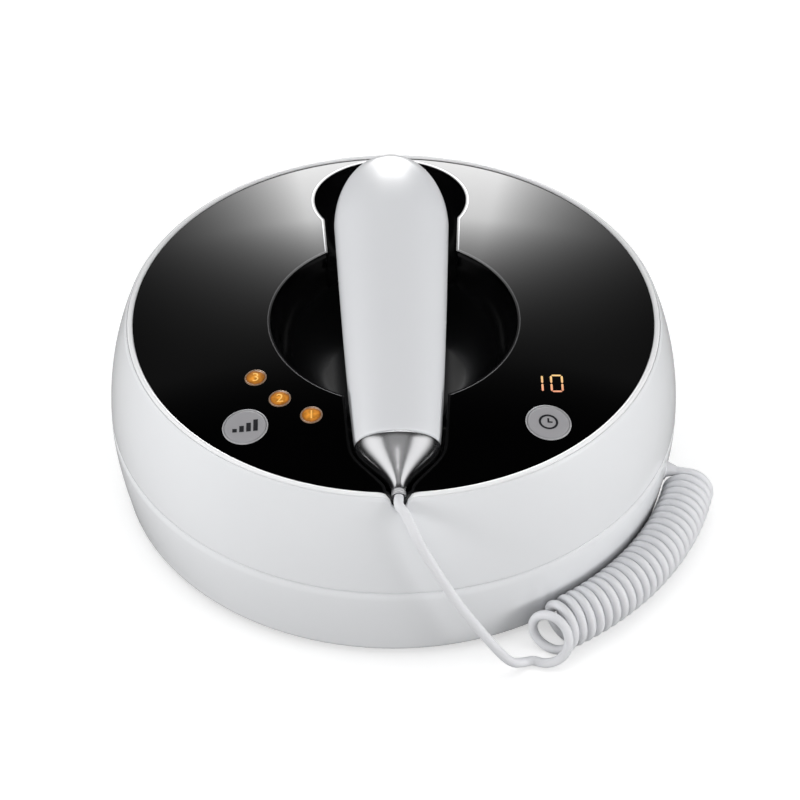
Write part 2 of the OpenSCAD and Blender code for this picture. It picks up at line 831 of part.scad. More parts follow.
// ---------- handset ----------

module handset_hollow() {
  skin([for (s = stations(body_s + skin_t, skin_t, hollow_rings, hollow_rings))
    section(s, skin_t, hollow_sides)]);
}

// everything above n
module from_split(n) {
  translate([-head_w - 1, 0, n]) cube([2 * head_w + 2, head_s + head_len + 1, head_up + 5]);
}

module handset_upper_shell() {
  color("white") in_handset() intersection() {
    difference() {
      handset_form(0);
      handset_hollow();
    }
    from_split(split_n);
  }
}

// half with two ribs that carry the board and a round hole for the treatment head
module handset_lower_shell() {
  color("white") in_handset() difference() {
    handset_form(0);
    difference() {
      handset_hollow();
      for (s = rib_at) translate([-rib_size[0] / 2, s, -head_w]) cube([rib_size[0], rib_size[1], head_w]);
    }
    from_split(split_low);
    translate([0, plate_s, -head_w]) cylinder(r = neck_r, h = head_w);
  }
}

module tail_cone() {
  color([0.75, 0.76, 0.78]) in_handset() difference() {
    cone_form(ferrule_l, cone_end, cone_rings, 0, ring_sides);
    cone_form(ferrule_l + cone_solid, cone_end + eps, cone_rings / 2, cone_wall, hollow_sides);
    rotate([-90, 0, 0]) cylinder(r = wire_r, h = ferrule_l + 2 * cone_solid);
  }
}

module tail_ferrule() {
  color([0.8, 0.8, 0.82]) in_handset() rotate([-90, 0, 0]) difference() {
    cylinder(r = ferrule_r, h = ferrule_l);
    translate([0, 0, -1]) cylinder(r = wire_r, h = ferrule_l + 2);
  }
}

// drum that meets the head's underside and carries on into its hole as a neck
module head_collar() {
  r = plate_r + collar_w;
  top = neck_top - collar_low;
  seat = plate_low + plate_h - collar_low;
  color([0.8, 0.8, 0.82]) difference() {
    at_plate(collar_low) rotate_extrude() polygon([[plate_r + 2 * touch, 0], [r - 1, 0],
      [r - 0.3, 0.5], [r, 1.4], [r, top], [plate_r - seat_w, top], [plate_r - seat_w, seat],
      [plate_r + 2 * touch, seat]]);
    in_handset() difference() {
      handset_form(0);
      translate([0, plate_s, -head_w]) cylinder(r = neck_r - 2 * touch, h = head_w);
    }
  }
}

module treatment_plate() {
  color([0.9, 0.9, 0.92]) at_plate(plate_low) difference() {
    rotate_extrude() polygon(concat([[0, 0]], [for (e = plate_edge) [plate_r - e[0], e[1]]],
      [[plate_r, plate_h], [0, plate_h]]));
    for (i = [0:electrode_count - 1]) rotate([0, 0, 360 / electrode_count * i])
      translate([electrode_ring, 0, -1]) cylinder(r = electrode_stem_r, h = electrode_stem + 1);
    translate([0, 0, -1]) cylinder(r = sensor_r, h = sensor_h - sensor_out + 1);
  }
}

// metal stud with a round face on a stem
module electrode(i) {
  ball = electrode_r + 0.6;
  color([0.85, 0.75, 0.5]) at_plate(plate_low - electrode_h)
    rotate([0, 0, 360 / electrode_count * i]) translate([electrode_ring, 0, 0]) rotate_extrude() {
      translate([0, electrode_h - eps]) square([electrode_stem_r, electrode_stem + eps]);
      intersection() {
        translate([0, ball]) circle(r = ball);
        square([electrode_r, electrode_h]);
      }
    }
}

module skin_sensor() {
  color([0.5, 0.5, 0.52]) at_plate(plate_low - sensor_out) cylinder(r = sensor_r, h = sensor_h);
}

module handset_board() {
  color([0.1, 0.35, 0.2]) in_handset()
    translate([-handset_board_size[0] / 2, handset_board_s, split_low])
    cube([handset_board_size[0], handset_board_size[1], board_t]);
}

module cord_lead() {
  color("white") skin(lead_rings);
}

module cord_coil() {
  color("white") skin(coil_rings);
}

// ---------- nodes ----------

base_lower_shell();
base_upper_shell();
rim_trim();
top_panel();
cradle_tray();
front_rest_pad();
rear_rest_pad();
level_button();
time_button();
level_button_rim();
time_button_rim();
for (i = [0:2]) {
  lamp_lens(i);
  lamp_rim(i);
  lamp_led(i);
}
level_board();
time_board();
level_switch();
time_switch();
display_module();
main_board_plate();  // main_board
transformer();
heat_sink();
rf_choke();
buzzer();
power_jack();
cord_gland();
for (i = [0:3]) {
  foot(i);
  shell_screw(i);
}
handset_upper_shell();
handset_lower_shell();
tail_cone();
tail_ferrule();
head_collar();
treatment_plate();
for (i = [0:electrode_count - 1])
  electrode(i);
skin_sensor();
handset_board();
cord_lead();
cord_coil();
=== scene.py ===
import bmesh
import bpy
import numpy as np
from math import radians, pi
from mathutils import Matrix, Vector


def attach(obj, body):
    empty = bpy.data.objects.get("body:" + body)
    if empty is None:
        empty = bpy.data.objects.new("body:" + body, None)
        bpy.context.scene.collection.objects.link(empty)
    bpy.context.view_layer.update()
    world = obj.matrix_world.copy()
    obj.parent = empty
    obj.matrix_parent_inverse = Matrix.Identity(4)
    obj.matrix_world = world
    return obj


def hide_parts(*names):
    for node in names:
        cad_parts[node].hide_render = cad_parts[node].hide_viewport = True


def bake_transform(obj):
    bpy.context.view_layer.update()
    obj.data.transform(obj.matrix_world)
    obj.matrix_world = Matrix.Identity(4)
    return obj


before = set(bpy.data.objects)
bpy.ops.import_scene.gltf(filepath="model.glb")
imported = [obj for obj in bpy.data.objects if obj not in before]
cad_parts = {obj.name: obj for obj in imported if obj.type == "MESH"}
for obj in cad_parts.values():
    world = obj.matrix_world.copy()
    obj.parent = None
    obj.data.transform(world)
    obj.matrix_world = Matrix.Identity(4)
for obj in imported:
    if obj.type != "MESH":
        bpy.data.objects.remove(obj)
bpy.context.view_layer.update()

scene = bpy.context.scene
mm = 0.001
print("frame loaded:", len(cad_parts), "solids")

# camera: place in millimetres and its three directions, as solved from the two rim circles
view = {"place": (-13.683, -768.514, 710.187), "right": (0.999781, -0.020920, -0.000135),
        "up": (0.013966, 0.662588, 0.748854), "forward": (0.015576, 0.748692, -0.662735),
        "lens": 127.4, "sensor": 36, "far": 20}


def photoCamera():
    data = bpy.data.cameras.new("photoCamera")
    data.lens = view["lens"]
    data.sensor_width = view["sensor"]
    data.clip_end = view["far"]
    camera = bpy.data.objects.new("photoCamera", data)
    scene.collection.objects.link(camera)
    stand = np.eye(4)
    stand[:3, :3] = np.array([view["right"], view["up"], [-v for v in view["forward"]]]).T
    stand[:3, 3] = np.array(view["place"]) * mm
    camera.matrix_world = Matrix(stand.tolist())
    scene.camera = camera


photoCamera()

# sizes shared by several pieces, in millimetres, as the solids have them
base = {"bellyR": 101.8, "bellyZ": 29, "rimR": 94.4, "footR": 97.8, "seamZ": 33, "rimZ": 70.5,
        "footH": 1.5, "panelR": 91.8, "panelRise": 7.9, "upPower": 2.2, "downPower": 1.5}
base["domeR"] = (base["panelR"] ** 2 + base["panelRise"] ** 2) / (2 * base["panelRise"])
base["domeCz"] = base["rimZ"] + base["panelRise"] - base["domeR"]
domeMiddle = np.array([0, 0, base["domeCz"]])


def shellRadius(z):
    # belly radius less a power of the height from the belly, one power above it and one below
    up = np.clip((z - base["bellyZ"]) / (base["rimZ"] - base["bellyZ"]), 0, None)
    down = np.clip((base["bellyZ"] - z) / (base["bellyZ"] - base["footH"]), 0, None)
    return (base["bellyR"] - (base["bellyR"] - base["rimR"]) * up ** base["upPower"]
            - (base["bellyR"] - base["footR"]) * down ** base["downPower"])


def domeHeight(x, y):
    # sphere through the edge of the black top
    return base["domeCz"] + np.sqrt(base["domeR"] ** 2 - x ** 2 - y ** 2)


def makePiece(name, points, faces, material, body, facing=None, sharp=40):
    # points in millimetres; faces is a list of arrays of corners, turned outward or along facing
    points = np.asarray(points, float)
    fans = [group[:, [0, i, i + 1]] for group in faces for i in range(1, group.shape[1] - 1)]
    first, second, third = (points[corner] for corner in np.concatenate(fans).T)
    area = np.cross(second - first, third - first)
    if facing is None:
        side = ((first - points.mean(0)) * area).sum()
    else:
        side = (area @ np.array(facing, float)).sum()
    step = -1 if side < 0 else 1
    turned = [face for group in faces for face in group[:, ::step].tolist()]
    mesh = bpy.data.meshes.new(name)
    mesh.from_pydata((points * mm).tolist(), [], turned)
    mesh.validate()
    mesh.shade_smooth()
    mesh.set_sharp_from_angle(angle=radians(sharp))
    piece = bpy.data.objects.new(name, mesh)
    scene.collection.objects.link(piece)
    mesh.materials.append(material)
    if body:
        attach(piece, body)
    return piece


def gridPiece(name, grid, material, body, sharp=50, ends="fan"):
    # each row wraps round; first and last row close with fans to their middles, are joined or stay open
    rows, cols = grid.shape[:2]
    points = grid.reshape(-1, 3)
    r = np.arange(rows if ends == "joined" else rows - 1)[:, None]
    c = np.arange(cols)
    r2, c2 = (r + 1) % rows, (c + 1) % cols
    faces = [np.stack([r * cols + c, r * cols + c2, r2 * cols + c2, r2 * cols + c], -1).reshape(-1, 4)]
    if ends == "fan":
        low, high = c, (rows - 1) * cols + c
        for one, other in ((np.roll(low, -1), low), (high, np.roll(high, -1))):
            points = np.vstack([points, points[one].mean(0)])
            faces.append(np.stack([np.full(cols, len(points) - 1), one, other], -1))
    return makePiece(name, points, faces, material, body, sharp=sharp)


def revolved(profile, angles):
    # profile of (radius, height) turned round Z at these angles: rows follow the profile
    profile = np.asarray(profile, float)
    r, z = profile[:, 0, None], profile[:, 1, None]
    return np.stack([r * np.cos(angles), r * np.sin(angles), z + 0 * angles], -1)


def circleAngles(n):
    return np.arange(n) * 2 * pi / n


def solidCopy(node, material, body, sharp=32, name=None):
    # the solid's own mesh with its doubles merged and its round faces shaded smooth
    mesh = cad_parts[node].data.copy()
    work = bmesh.new()
    work.from_mesh(mesh)
    bmesh.ops.remove_doubles(work, verts=work.verts, dist=2e-6)
    work.to_mesh(mesh)
    work.free()
    mesh.shade_smooth()
    mesh.set_sharp_from_angle(angle=radians(sharp))
    piece = bpy.data.objects.new(name or node + "Finish", mesh)
    scene.collection.objects.link(piece)
    mesh.materials.clear()
    mesh.materials.append(material)
    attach(piece, body)
    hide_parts(node)
    return piece


def fromDomeMiddle(mesh):
    # places of the mesh's points seen from the middle of the dome's sphere, in millimetres
    places = np.zeros(3 * len(mesh.vertices))
    mesh.vertices.foreach_get("co", places)
    return places.reshape(-1, 3) / mm - domeMiddle


def domeNormals(piece, reach=0.03, level=0.97):
    # corners of faces that lie on the dome get the sphere's own normal, the rest keep theirs
    mesh = piece.data
    corners = np.zeros(len(mesh.loops), int)
    mesh.loops.foreach_get("vertex_index", corners)
    sizes = np.zeros(len(mesh.polygons), int)
    mesh.polygons.foreach_get("loop_total", sizes)
    facing = np.zeros(3 * len(mesh.polygons))
    mesh.polygons.foreach_get("normal", facing)
    out = fromDomeMiddle(mesh)[corners]
    radius = np.linalg.norm(out, axis=1)
    out = out / radius[:, None]
    facing = np.repeat(facing.reshape(-1, 3), sizes, 0)
    onSphere = ((facing * out).sum(1) > level) & (np.abs(radius - base["domeR"]) < reach)
    mesh.normals_split_custom_set(np.where(onSphere[:, None], out, 0.0).tolist())


def flushLip(piece, proud=0.1, over=0.02):
    # the cradle's lip comes down to just over the dome, so its edge stays the only line
    out = fromDomeMiddle(piece.data)
    radius = np.linalg.norm(out, axis=1, keepdims=True)
    lower = np.where(radius > base["domeR"] + proud, (base["domeR"] + over) / radius, 1.0)
    piece.data.vertices.foreach_set("co", ((out * lower + domeMiddle) * mm).ravel())
    domeNormals(piece)


def treeOf(material):
    material.use_nodes = True
    return material.node_tree.nodes, material.node_tree.links


def noiseOn(nodes, links, place, scale, detail):
    # noise on the Object coordinates of place
    noise = nodes.new("ShaderNodeTexNoise")
    noise.inputs["Scale"].default_value = scale
    noise.inputs["Detail"].default_value = detail
    links.new(place.outputs["Object"], noise.inputs["Vector"])
    return noise.outputs["Fac"]


def mapped(nodes, links, value, low, high):
    # values from 0 to 1 mapped to low to high
    spread = nodes.new("ShaderNodeMapRange")
    spread.inputs["To Min"].default_value = low
    spread.inputs["To Max"].default_value = high
    links.new(value, spread.inputs["Value"])
    return spread


def toneMix(nodes, links, share, first, second):
    # first tone where share is 0, second where it is 1
    mix = nodes.new("ShaderNodeMix")
    mix.data_type = "RGBA"
    mix.inputs[6].default_value = (*first, 1)
    mix.inputs[7].default_value = (*second, 1)
    links.new(share, mix.inputs[0])
    return mix.outputs[2]


# noises that every finish shares, as scale and detail, and the depth of its grain in metres
noises = {"cloud": 30, "cloudDetail": 4, "patch": 90, "patchDetail": 3, "grainDetail": 2, "depth": 0.0002}


def finishMaterial(name, look):
    # two close tones mixed by a broad noise, roughness varied by a second, a fine grain as bump
    material = bpy.data.materials.new(name)
    nodes, links = treeOf(material)
    shader = nodes["Principled BSDF"]
    for socket, value in look.get("sockets", {}).items():
        shader.inputs[socket].default_value = value
    place = nodes.new("ShaderNodeTexCoord")
    cloud = noiseOn(nodes, links, place, look.get("cloudScale", noises["cloud"]), noises["cloudDetail"])
    links.new(toneMix(nodes, links, cloud, look["tone"], look["tone2"]), shader.inputs["Base Color"])
    patch = noiseOn(nodes, links, place, noises["patch"], noises["patchDetail"])
    rough = mapped(nodes, links, patch, *look["rough"])
    links.new(rough.outputs["Result"], shader.inputs["Roughness"])
    if look.get("bump"):
        bump = nodes.new("ShaderNodeBump")
        bump.inputs["Strength"].default_value = look["bump"]
        bump.inputs["Distance"].default_value = noises["depth"]
        grain = noiseOn(nodes, links, place, look["grainScale"], noises["grainDetail"])
        links.new(grain, bump.inputs["Height"])
        links.new(bump.outputs["Normal"], shader.inputs["Normal"])
    return material


looks = {
    "shellWhite": {"tone": (0.80, 0.81, 0.83), "tone2": (0.83, 0.84, 0.855), "rough": (0.16, 0.24),
                   "bump": 0.05, "grainScale": 500,
                   "sockets": {"Coat Weight": 0.5, "Coat Roughness": 0.06}},
    "trimWhite": {"tone": (0.88, 0.885, 0.895), "tone2": (0.91, 0.91, 0.92), "rough": (0.12, 0.2),
                  "sockets": {"Coat Weight": 0.6, "Coat Roughness": 0.04}},
    "topBlack": {"tone": (0.0004, 0.0004, 0.0005), "tone2": (0.0007, 0.0007, 0.0008),
                 "rough": (0.05, 0.08), "sockets": {"IOR": 1.45}},
    "trayBlack": {"tone": (0.003, 0.003, 0.0035), "tone2": (0.006, 0.006, 0.0065), "rough": (0.1, 0.17),
                  "bump": 0.03, "grainScale": 600},
    "padBlack": {"tone": (0.02, 0.02, 0.021), "tone2": (0.03, 0.03, 0.031), "rough": (0.7, 0.85),
                 "bump": 0.3, "grainScale": 2500},
    "lipBlack": {"tone": (0.16, 0.16, 0.165), "tone2": (0.2, 0.2, 0.205), "rough": (0.1, 0.16),
                 "sockets": {"Metallic": 1.0}},
    "buttonGrey": {"tone": (0.31, 0.305, 0.32), "tone2": (0.34, 0.335, 0.35), "rough": (0.38, 0.5),
                   "bump": 0.15, "grainScale": 4000},
    "ringGrey": {"tone": (0.42, 0.42, 0.43), "tone2": (0.47, 0.47, 0.48), "rough": (0.3, 0.4),
                 "sockets": {"Metallic": 0.2}},
    "lampTan": {"tone": (0.3, 0.19, 0.12), "tone2": (0.36, 0.24, 0.16), "rough": (0.3, 0.4),
                "sockets": {"Metallic": 0.4}},
    "boardGreen": {"tone": (0.01, 0.09, 0.03), "tone2": (0.015, 0.16, 0.06), "cloudScale": 300,
                   "rough": (0.3, 0.45)},
    "partBlack": {"tone": (0.015, 0.015, 0.015), "tone2": (0.03, 0.03, 0.03), "rough": (0.45, 0.6),
                  "bump": 0.2, "grainScale": 2500},
    "ledAmber": {"tone": (0.9, 0.5, 0.12), "tone2": (1.0, 0.62, 0.2), "rough": (0.15, 0.25)},
    "displayDark": {"tone": (0.02, 0.004, 0.002), "tone2": (0.03, 0.008, 0.003), "rough": (0.2, 0.3)},
    "coreBronze": {"tone": (0.18, 0.13, 0.06), "tone2": (0.28, 0.2, 0.1), "rough": (0.4, 0.6),
                   "bump": 0.4, "grainScale": 1500},
    "sinkMetal": {"tone": (0.55, 0.55, 0.57), "tone2": (0.68, 0.68, 0.7), "rough": (0.3, 0.45),
                  "sockets": {"Metallic": 1.0}},
    "chokeCopper": {"tone": (0.55, 0.2, 0.07), "tone2": (0.75, 0.32, 0.12), "rough": (0.25, 0.4),
                    "sockets": {"Metallic": 0.9}},
    "footRubber": {"tone": (0.015, 0.015, 0.015), "tone2": (0.03, 0.03, 0.03), "rough": (0.75, 0.9),
                   "bump": 0.4, "grainScale": 1800},
    "screwSteel": {"tone": (0.5, 0.5, 0.52), "tone2": (0.62, 0.62, 0.64), "rough": (0.25, 0.4),
                   "sockets": {"Metallic": 1.0}},
    # handset's white plastic with its tone set below the shell's white: the darker tone is painted shade on
    # the handset
    "handsetShadedWhite": {"tone": (0.74, 0.75, 0.775), "tone2": (0.77, 0.78, 0.80), "rough": (0.2, 0.28),
                     "bump": 0.04, "grainScale": 500,
                     "sockets": {"Coat Weight": 0.2, "Coat Roughness": 0.08}},
    "plateMetal": {"tone": (0.62, 0.62, 0.64), "tone2": (0.72, 0.72, 0.74), "rough": (0.18, 0.3),
                   "sockets": {"Metallic": 1.0}},
    "studMetal": {"tone": (0.78, 0.66, 0.42), "tone2": (0.85, 0.74, 0.5), "rough": (0.1, 0.2),
                  "sockets": {"Metallic": 1.0}},
    "sensorGrey": {"tone": (0.06, 0.06, 0.065), "tone2": (0.1, 0.1, 0.11), "rough": (0.1, 0.2)},
    "coneSilver": {"tone": (0.66, 0.66, 0.675), "tone2": (0.72, 0.72, 0.735), "rough": (0.2, 0.25),
                   "cloudScale": 60, "sockets": {"Metallic": 1.0}},
    "ferruleChrome": {"tone": (0.86, 0.86, 0.88), "tone2": (0.92, 0.92, 0.93), "rough": (0.26, 0.32),
                      "sockets": {"Metallic": 0.75}},
    "cordWhite": {"tone": (0.74, 0.745, 0.77), "tone2": (0.78, 0.785, 0.805), "rough": (0.3, 0.4),
                  "bump": 0.06, "grainScale": 1200, "sockets": {"Subsurface Weight": 0.0}},
    "glandGrey": {"tone": (0.66, 0.66, 0.68), "tone2": (0.72, 0.72, 0.74), "rough": (0.5, 0.65),
                  "bump": 0.2, "grainScale": 2000},
    "markDark": {"tone": (0.012, 0.012, 0.014), "tone2": (0.02, 0.02, 0.024), "rough": (0.6, 0.7),
                 "sockets": {"Specular IOR Level": 0.1}}}
materials = {key: finishMaterial(key, look) for key, look in looks.items()}


glowLook = {"tone": (0.05, 0.02, 0.008), "tone2": (0.07, 0.03, 0.01), "rough": (0.25, 0.35), "scale": 500,
            "detail": 2, "vary": 0.2}


def glowMaterial(name, low, high, reach, strength):
    # lit marks: one tone at the lower Y of reach and another at its upper Y, varied by a soft noise
    material = finishMaterial(name, glowLook)
    nodes, links = treeOf(material)
    shader = nodes["Principled BSDF"]
    place = nodes.new("ShaderNodeTexCoord")
    split = nodes.new("ShaderNodeSeparateXYZ")
    links.new(place.outputs["Object"], split.inputs[0])
    along = mapped(nodes, links, split.outputs[1], 0, 1)
    along.inputs["From Min"].default_value = reach[0] * mm
    along.inputs["From Max"].default_value = reach[1] * mm
    tones = toneMix(nodes, links, along.outputs["Result"], low, high)
    links.new(tones, shader.inputs["Emission Color"])
    soft = noiseOn(nodes, links, place, glowLook["scale"], glowLook["detail"])
    level = mapped(nodes, links, soft, strength * (1 - glowLook["vary"]), strength * (1 + glowLook["vary"]))
    links.new(level.outputs["Result"], shader.inputs["Emission Strength"])
    return material


# lamps: tones by distance from the middle as a share of the radius, then how the glassy noise varies them
lampLook = {"tone": (0.12, 0.045, 0.006), "tone2": (0.2, 0.08, 0.01), "rough": (0.12, 0.2), "middleTo": 0.1,
            "middle": (0.72, 0.29, 0.035, 1), "broadTo": 0.72, "broad": (0.5, 0.18, 0.02, 1),
            "edge": (0.16, 0.045, 0.006, 1), "facets": 550, "detail": 1, "noise": (0.3, 0.7),
            "strength": (0.45, 1.15)}


def lampMaterial(name, middle, radius):
    # amber glow that falls off from the lamp's middle to its edge, broken up by a glassy noise
    material = finishMaterial(name, lampLook)
    nodes, links = treeOf(material)
    shader = nodes["Principled BSDF"]
    place = nodes.new("ShaderNodeTexCoord")
    away = nodes.new("ShaderNodeVectorMath")
    away.operation = "DISTANCE"
    away.inputs[1].default_value = tuple(middle)
    share = nodes.new("ShaderNodeMath")
    share.operation = "DIVIDE"
    share.inputs[1].default_value = radius
    ramp = nodes.new("ShaderNodeValToRGB")
    stops = ramp.color_ramp.elements
    stops[0].color = lampLook["middle"]
    stops[0].position = lampLook["middleTo"]
    stops[1].color = lampLook["edge"]
    stops.new(lampLook["broadTo"]).color = lampLook["broad"]
    links.new(place.outputs["Object"], away.inputs[0])
    links.new(away.outputs["Value"], share.inputs[0])
    links.new(share.outputs[0], ramp.inputs[0])
    links.new(ramp.outputs["Color"], shader.inputs["Emission Color"])
    glassy = noiseOn(nodes, links, place, lampLook["facets"], lampLook["detail"])
    level = mapped(nodes, links, glassy, *lampLook["strength"])
    level.inputs["From Min"].default_value, level.inputs["From Max"].default_value = lampLook["noise"]
    links.new(level.outputs["Result"], shader.inputs["Emission Strength"])
    return material


print("materials made:", len(materials))

# the cord: a free stretch from the handset, then a close helix round the base
cord = {"d": 3.3, "coilOd": 18.4, "clear": 0.1, "turns": 23.5, "pitch": 3.55, "pathR": 109.2,
        "start": -58.0, "hookTurns": 2.0, "hookAngle": 38.0, "hookLean": 25.0, "hookPitch": 6.4,
        "stepsPerTurn": 56, "sides": 18, "endSteps": 6, "endOut": 1.5, "leadSides": 24, "leadSteps": 14,
        "sharp": 60}
cord["coilR"] = (cord["coilOd"] - cord["d"]) / 2
cord["coilZ"] = cord["coilOd"] / 2 + cord["clear"]
cord["hookR"] = cord["hookTurns"] * cord["hookPitch"] / radians(cord["hookAngle"])
cord["all"] = cord["turns"] + cord["hookTurns"]
leadRoute = [[0, -95.9, 68.7], [2, -98.6, 67], [6, -104.6, 61], [11.5, -108.6, 51.5], [19.5, -111.3, 37.5],
             [28, -111.8, 23.5], [34.5, -110.8, 12.5], [38.5, -108.2, 6], [42, -105.3, 2.8]]
tip = np.array([0, -92.3, 69.0])
tilt = radians(5)


def curlPath(n):
    # middle line of the curls: an opened hook of a small circle, then the big circle round the base
    n = np.asarray(n, float)
    hook = n < cord["hookTurns"]
    start = radians(cord["start"])
    a = np.where(hook, start + pi + radians(cord["hookAngle"]) * (1 - n / cord["hookTurns"]),
                 start + (n - cord["hookTurns"]) * cord["pitch"] / cord["pathR"])
    out = np.stack([np.cos(a), np.sin(a), 0 * a], -1)
    centre = (cord["pathR"] + cord["hookR"]) * np.array([np.cos(start), np.sin(start), 0])
    middle = np.where(hook[..., None], centre + cord["hookR"] * out, cord["pathR"] * out)
    return middle, np.where(hook[..., None], -out, out)


def curlPoint(n):
    # each turn is a circle square to the middle line, from its lowest point; the first turns lean back
    n = np.asarray(n, float)
    middle, right = curlPath(n)
    a = 2 * pi * n - pi / 2
    lean = radians(cord["hookLean"]) * np.clip(1 - n / cord["hookTurns"], 0, 1)[..., None]
    up = np.cross([0, 0, 1.0], right) * np.sin(lean) + np.array([0, 0, 1.0]) * np.cos(lean)
    side = right * np.cos(a)[..., None] + up * np.sin(a)[..., None]
    return middle + np.array([0, 0, cord["coilZ"]]) + cord["coilR"] * side, side


def tubeGrid(line, side, radius, sides):
    # circle of this radius square to the line at each of its points; side gives where it begins
    along = np.gradient(line, axis=0)
    along = along / np.linalg.norm(along, axis=1, keepdims=True)
    u = side - along * (side * along).sum(1, keepdims=True)
    u = u / np.linalg.norm(u, axis=1, keepdims=True)
    v = np.cross(along, u)
    a = circleAngles(sides)[None, :, None]
    return line[:, None] + radius * (u[:, None] * np.cos(a) + v[:, None] * np.sin(a))


def smoothLine(knots, steps):
    # the curve through the knots whose heading at each runs from its neighbour before to the one after
    p = np.asarray(knots, float)
    a, b, c, d = p[:-3, None], p[1:-2, None], p[2:-1, None], p[3:, None]
    t = (np.arange(steps) / steps)[None, :, None]
    line = 0.5 * (2 * b + (c - a) * t + (2 * a - 5 * b + 4 * c - d) * t ** 2
                  + (3 * b - a - 3 * c + d) * t ** 3)
    return np.vstack([line.reshape(-1, p.shape[1]), p[-2]])


turnsAt = np.linspace(0, cord["all"], int(round(cord["all"] * cord["stepsPerTurn"])) + 1)
curls, curlSides = curlPoint(turnsAt)
firstRight = curlPath(np.array([0.0]))[1][0]
lastRight = curlPath(np.array([cord["all"]]))[1][0]
coilIn = curls[0] - cord["d"] * firstRight
coilOut = curls[-1] - cord["endOut"] * cord["d"] * lastRight
ease = np.arange(cord["endSteps"])[:, None] / cord["endSteps"]
coilLine = np.vstack([coilIn + (curls[0] - coilIn) * ease, curls,
                      curls[-1] + (coilOut - curls[-1]) * (ease + 1 / cord["endSteps"])])
coilSide = np.vstack([np.tile(curlSides[0], (cord["endSteps"], 1)), curlSides,
                      np.tile(curlSides[-1], (cord["endSteps"], 1))])
coilTube = gridPiece("curlyCord", tubeGrid(coilLine, coilSide, cord["d"] / 2, cord["sides"]),
                     materials["cordWhite"], "base", cord["sharp"])
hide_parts("cord_coil")

leadDir = np.array([0, -np.cos(tilt), -np.sin(tilt)])
leadKnots = [tip - leadDir * cord["d"], tip, *leadRoute, coilIn, coilIn + firstRight * cord["d"]]
leadLine = smoothLine(leadKnots, cord["leadSteps"])
leadSide = np.tile([-0.3, 0.5, -0.8], (len(leadLine), 1))
leadTube = gridPiece("freeCord", tubeGrid(leadLine, leadSide, cord["d"] / 2, cord["leadSides"]),
                     materials["cordWhite"], None, cord["sharp"])
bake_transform(leadTube)
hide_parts("cord_lead")

# cable notch through the rim
notch = {"floorZ": 69.0, "r": 2.8, "mouth": 5.0, "mouthUp": 1.5, "shoulder": 1.1, "reach": 9, "fromZ": 64}


def notchHeight(x):
    # height of the notch's edge over x: round floor, then a straight lean to the mouth
    across = np.abs(x)
    floor = notch["floorZ"] - np.sqrt(np.clip(notch["r"] ** 2 - across ** 2, 0, None))
    slope = notch["floorZ"] + (across - notch["r"]) / (notch["mouth"] - notch["r"]) * notch["mouthUp"]
    return np.where(across < notch["r"], floor, slope)


def cutNotch(grid):
    # points over the notch come down to its edge, with a soft shoulder
    x, y, z = grid[..., 0], grid[..., 1], grid[..., 2]
    edge = notchHeight(x)
    share = np.clip(0.5 + 0.5 * (edge - z) / notch["shoulder"], 0, 1)
    soft = edge * (1 - share) + z * share - notch["shoulder"] * share * (1 - share)
    cut = (y < 0) & (np.abs(x) < notch["reach"]) & (z > notch["fromZ"])
    grid[..., 2] = np.where(cut, np.minimum(z, soft), z)
    return grid


# angles round the base, closer together at the notch
ring = {"fineHalf": 6.2, "fine": 125, "coarse": 420}
fineFrom, fineTo = -90 - ring["fineHalf"], -90 + ring["fineHalf"]
ringAngles = np.radians(np.concatenate([np.linspace(fineFrom, fineTo, ring["fine"])[:-1],
                                        np.linspace(fineTo, 270 - ring["fineHalf"], ring["coarse"])[:-1]]))
quarter = np.linspace(0, pi / 2, 9)

# upper shell: a tucked edge at the seam, the wall, then the rounded rim; seam rows are height for the
# radius, inset and height
upperWall = {"from": 0.6, "to": 69.6, "rings": 46,
             "seam": [[33, 2.6, 38], [33, 1.4, 33.2], [33, 0.75, 33.05], [33, 0.45, 33.12],
                      [33.3, 0.14, 33.3]],
             "rim": [[94.42, 70.0], [94.33, 70.22], [94.15, 70.3], [94.02, 70.26], [94.0, 70.0],
                     [94.0, 66.0], [91.9, 65.4]]}
seam = np.array(upperWall["seam"])
wallZ = np.linspace(base["seamZ"] + upperWall["from"], upperWall["to"], upperWall["rings"])
upperProfile = np.vstack([np.stack([shellRadius(seam[:, 0]) - seam[:, 1], seam[:, 2]], -1),
                          np.stack([shellRadius(wallZ), wallZ], -1), upperWall["rim"]])
upperShell = gridPiece("upperShell", cutNotch(revolved(upperProfile, ringAngles)), materials["shellWhite"],
                       "base", ends="open")
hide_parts("base_upper_shell")
solidCopy("base_lower_shell", materials["shellWhite"], "base", sharp=25, name="lowerShell")

# rim trim: a ring with a half-round crown
trim = {"middle": 92.9, "half": 1.0, "low": 66.0, "crown": 70.2, "steps": 25}
crownAngles = np.linspace(0, pi, trim["steps"])
trimProfile = np.vstack([[[trim["middle"] - trim["half"], trim["low"]]],
                         np.stack([trim["middle"] - trim["half"] * np.cos(crownAngles),
                                   trim["crown"] + trim["half"] * np.sin(crownAngles)], -1),
                         [[trim["middle"] + trim["half"], trim["low"]]]])
rimTrim = gridPiece("rimTrim", cutNotch(revolved(trimProfile, ringAngles)), materials["trimWhite"], "base",
                    ends="joined")
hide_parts("rim_trim")

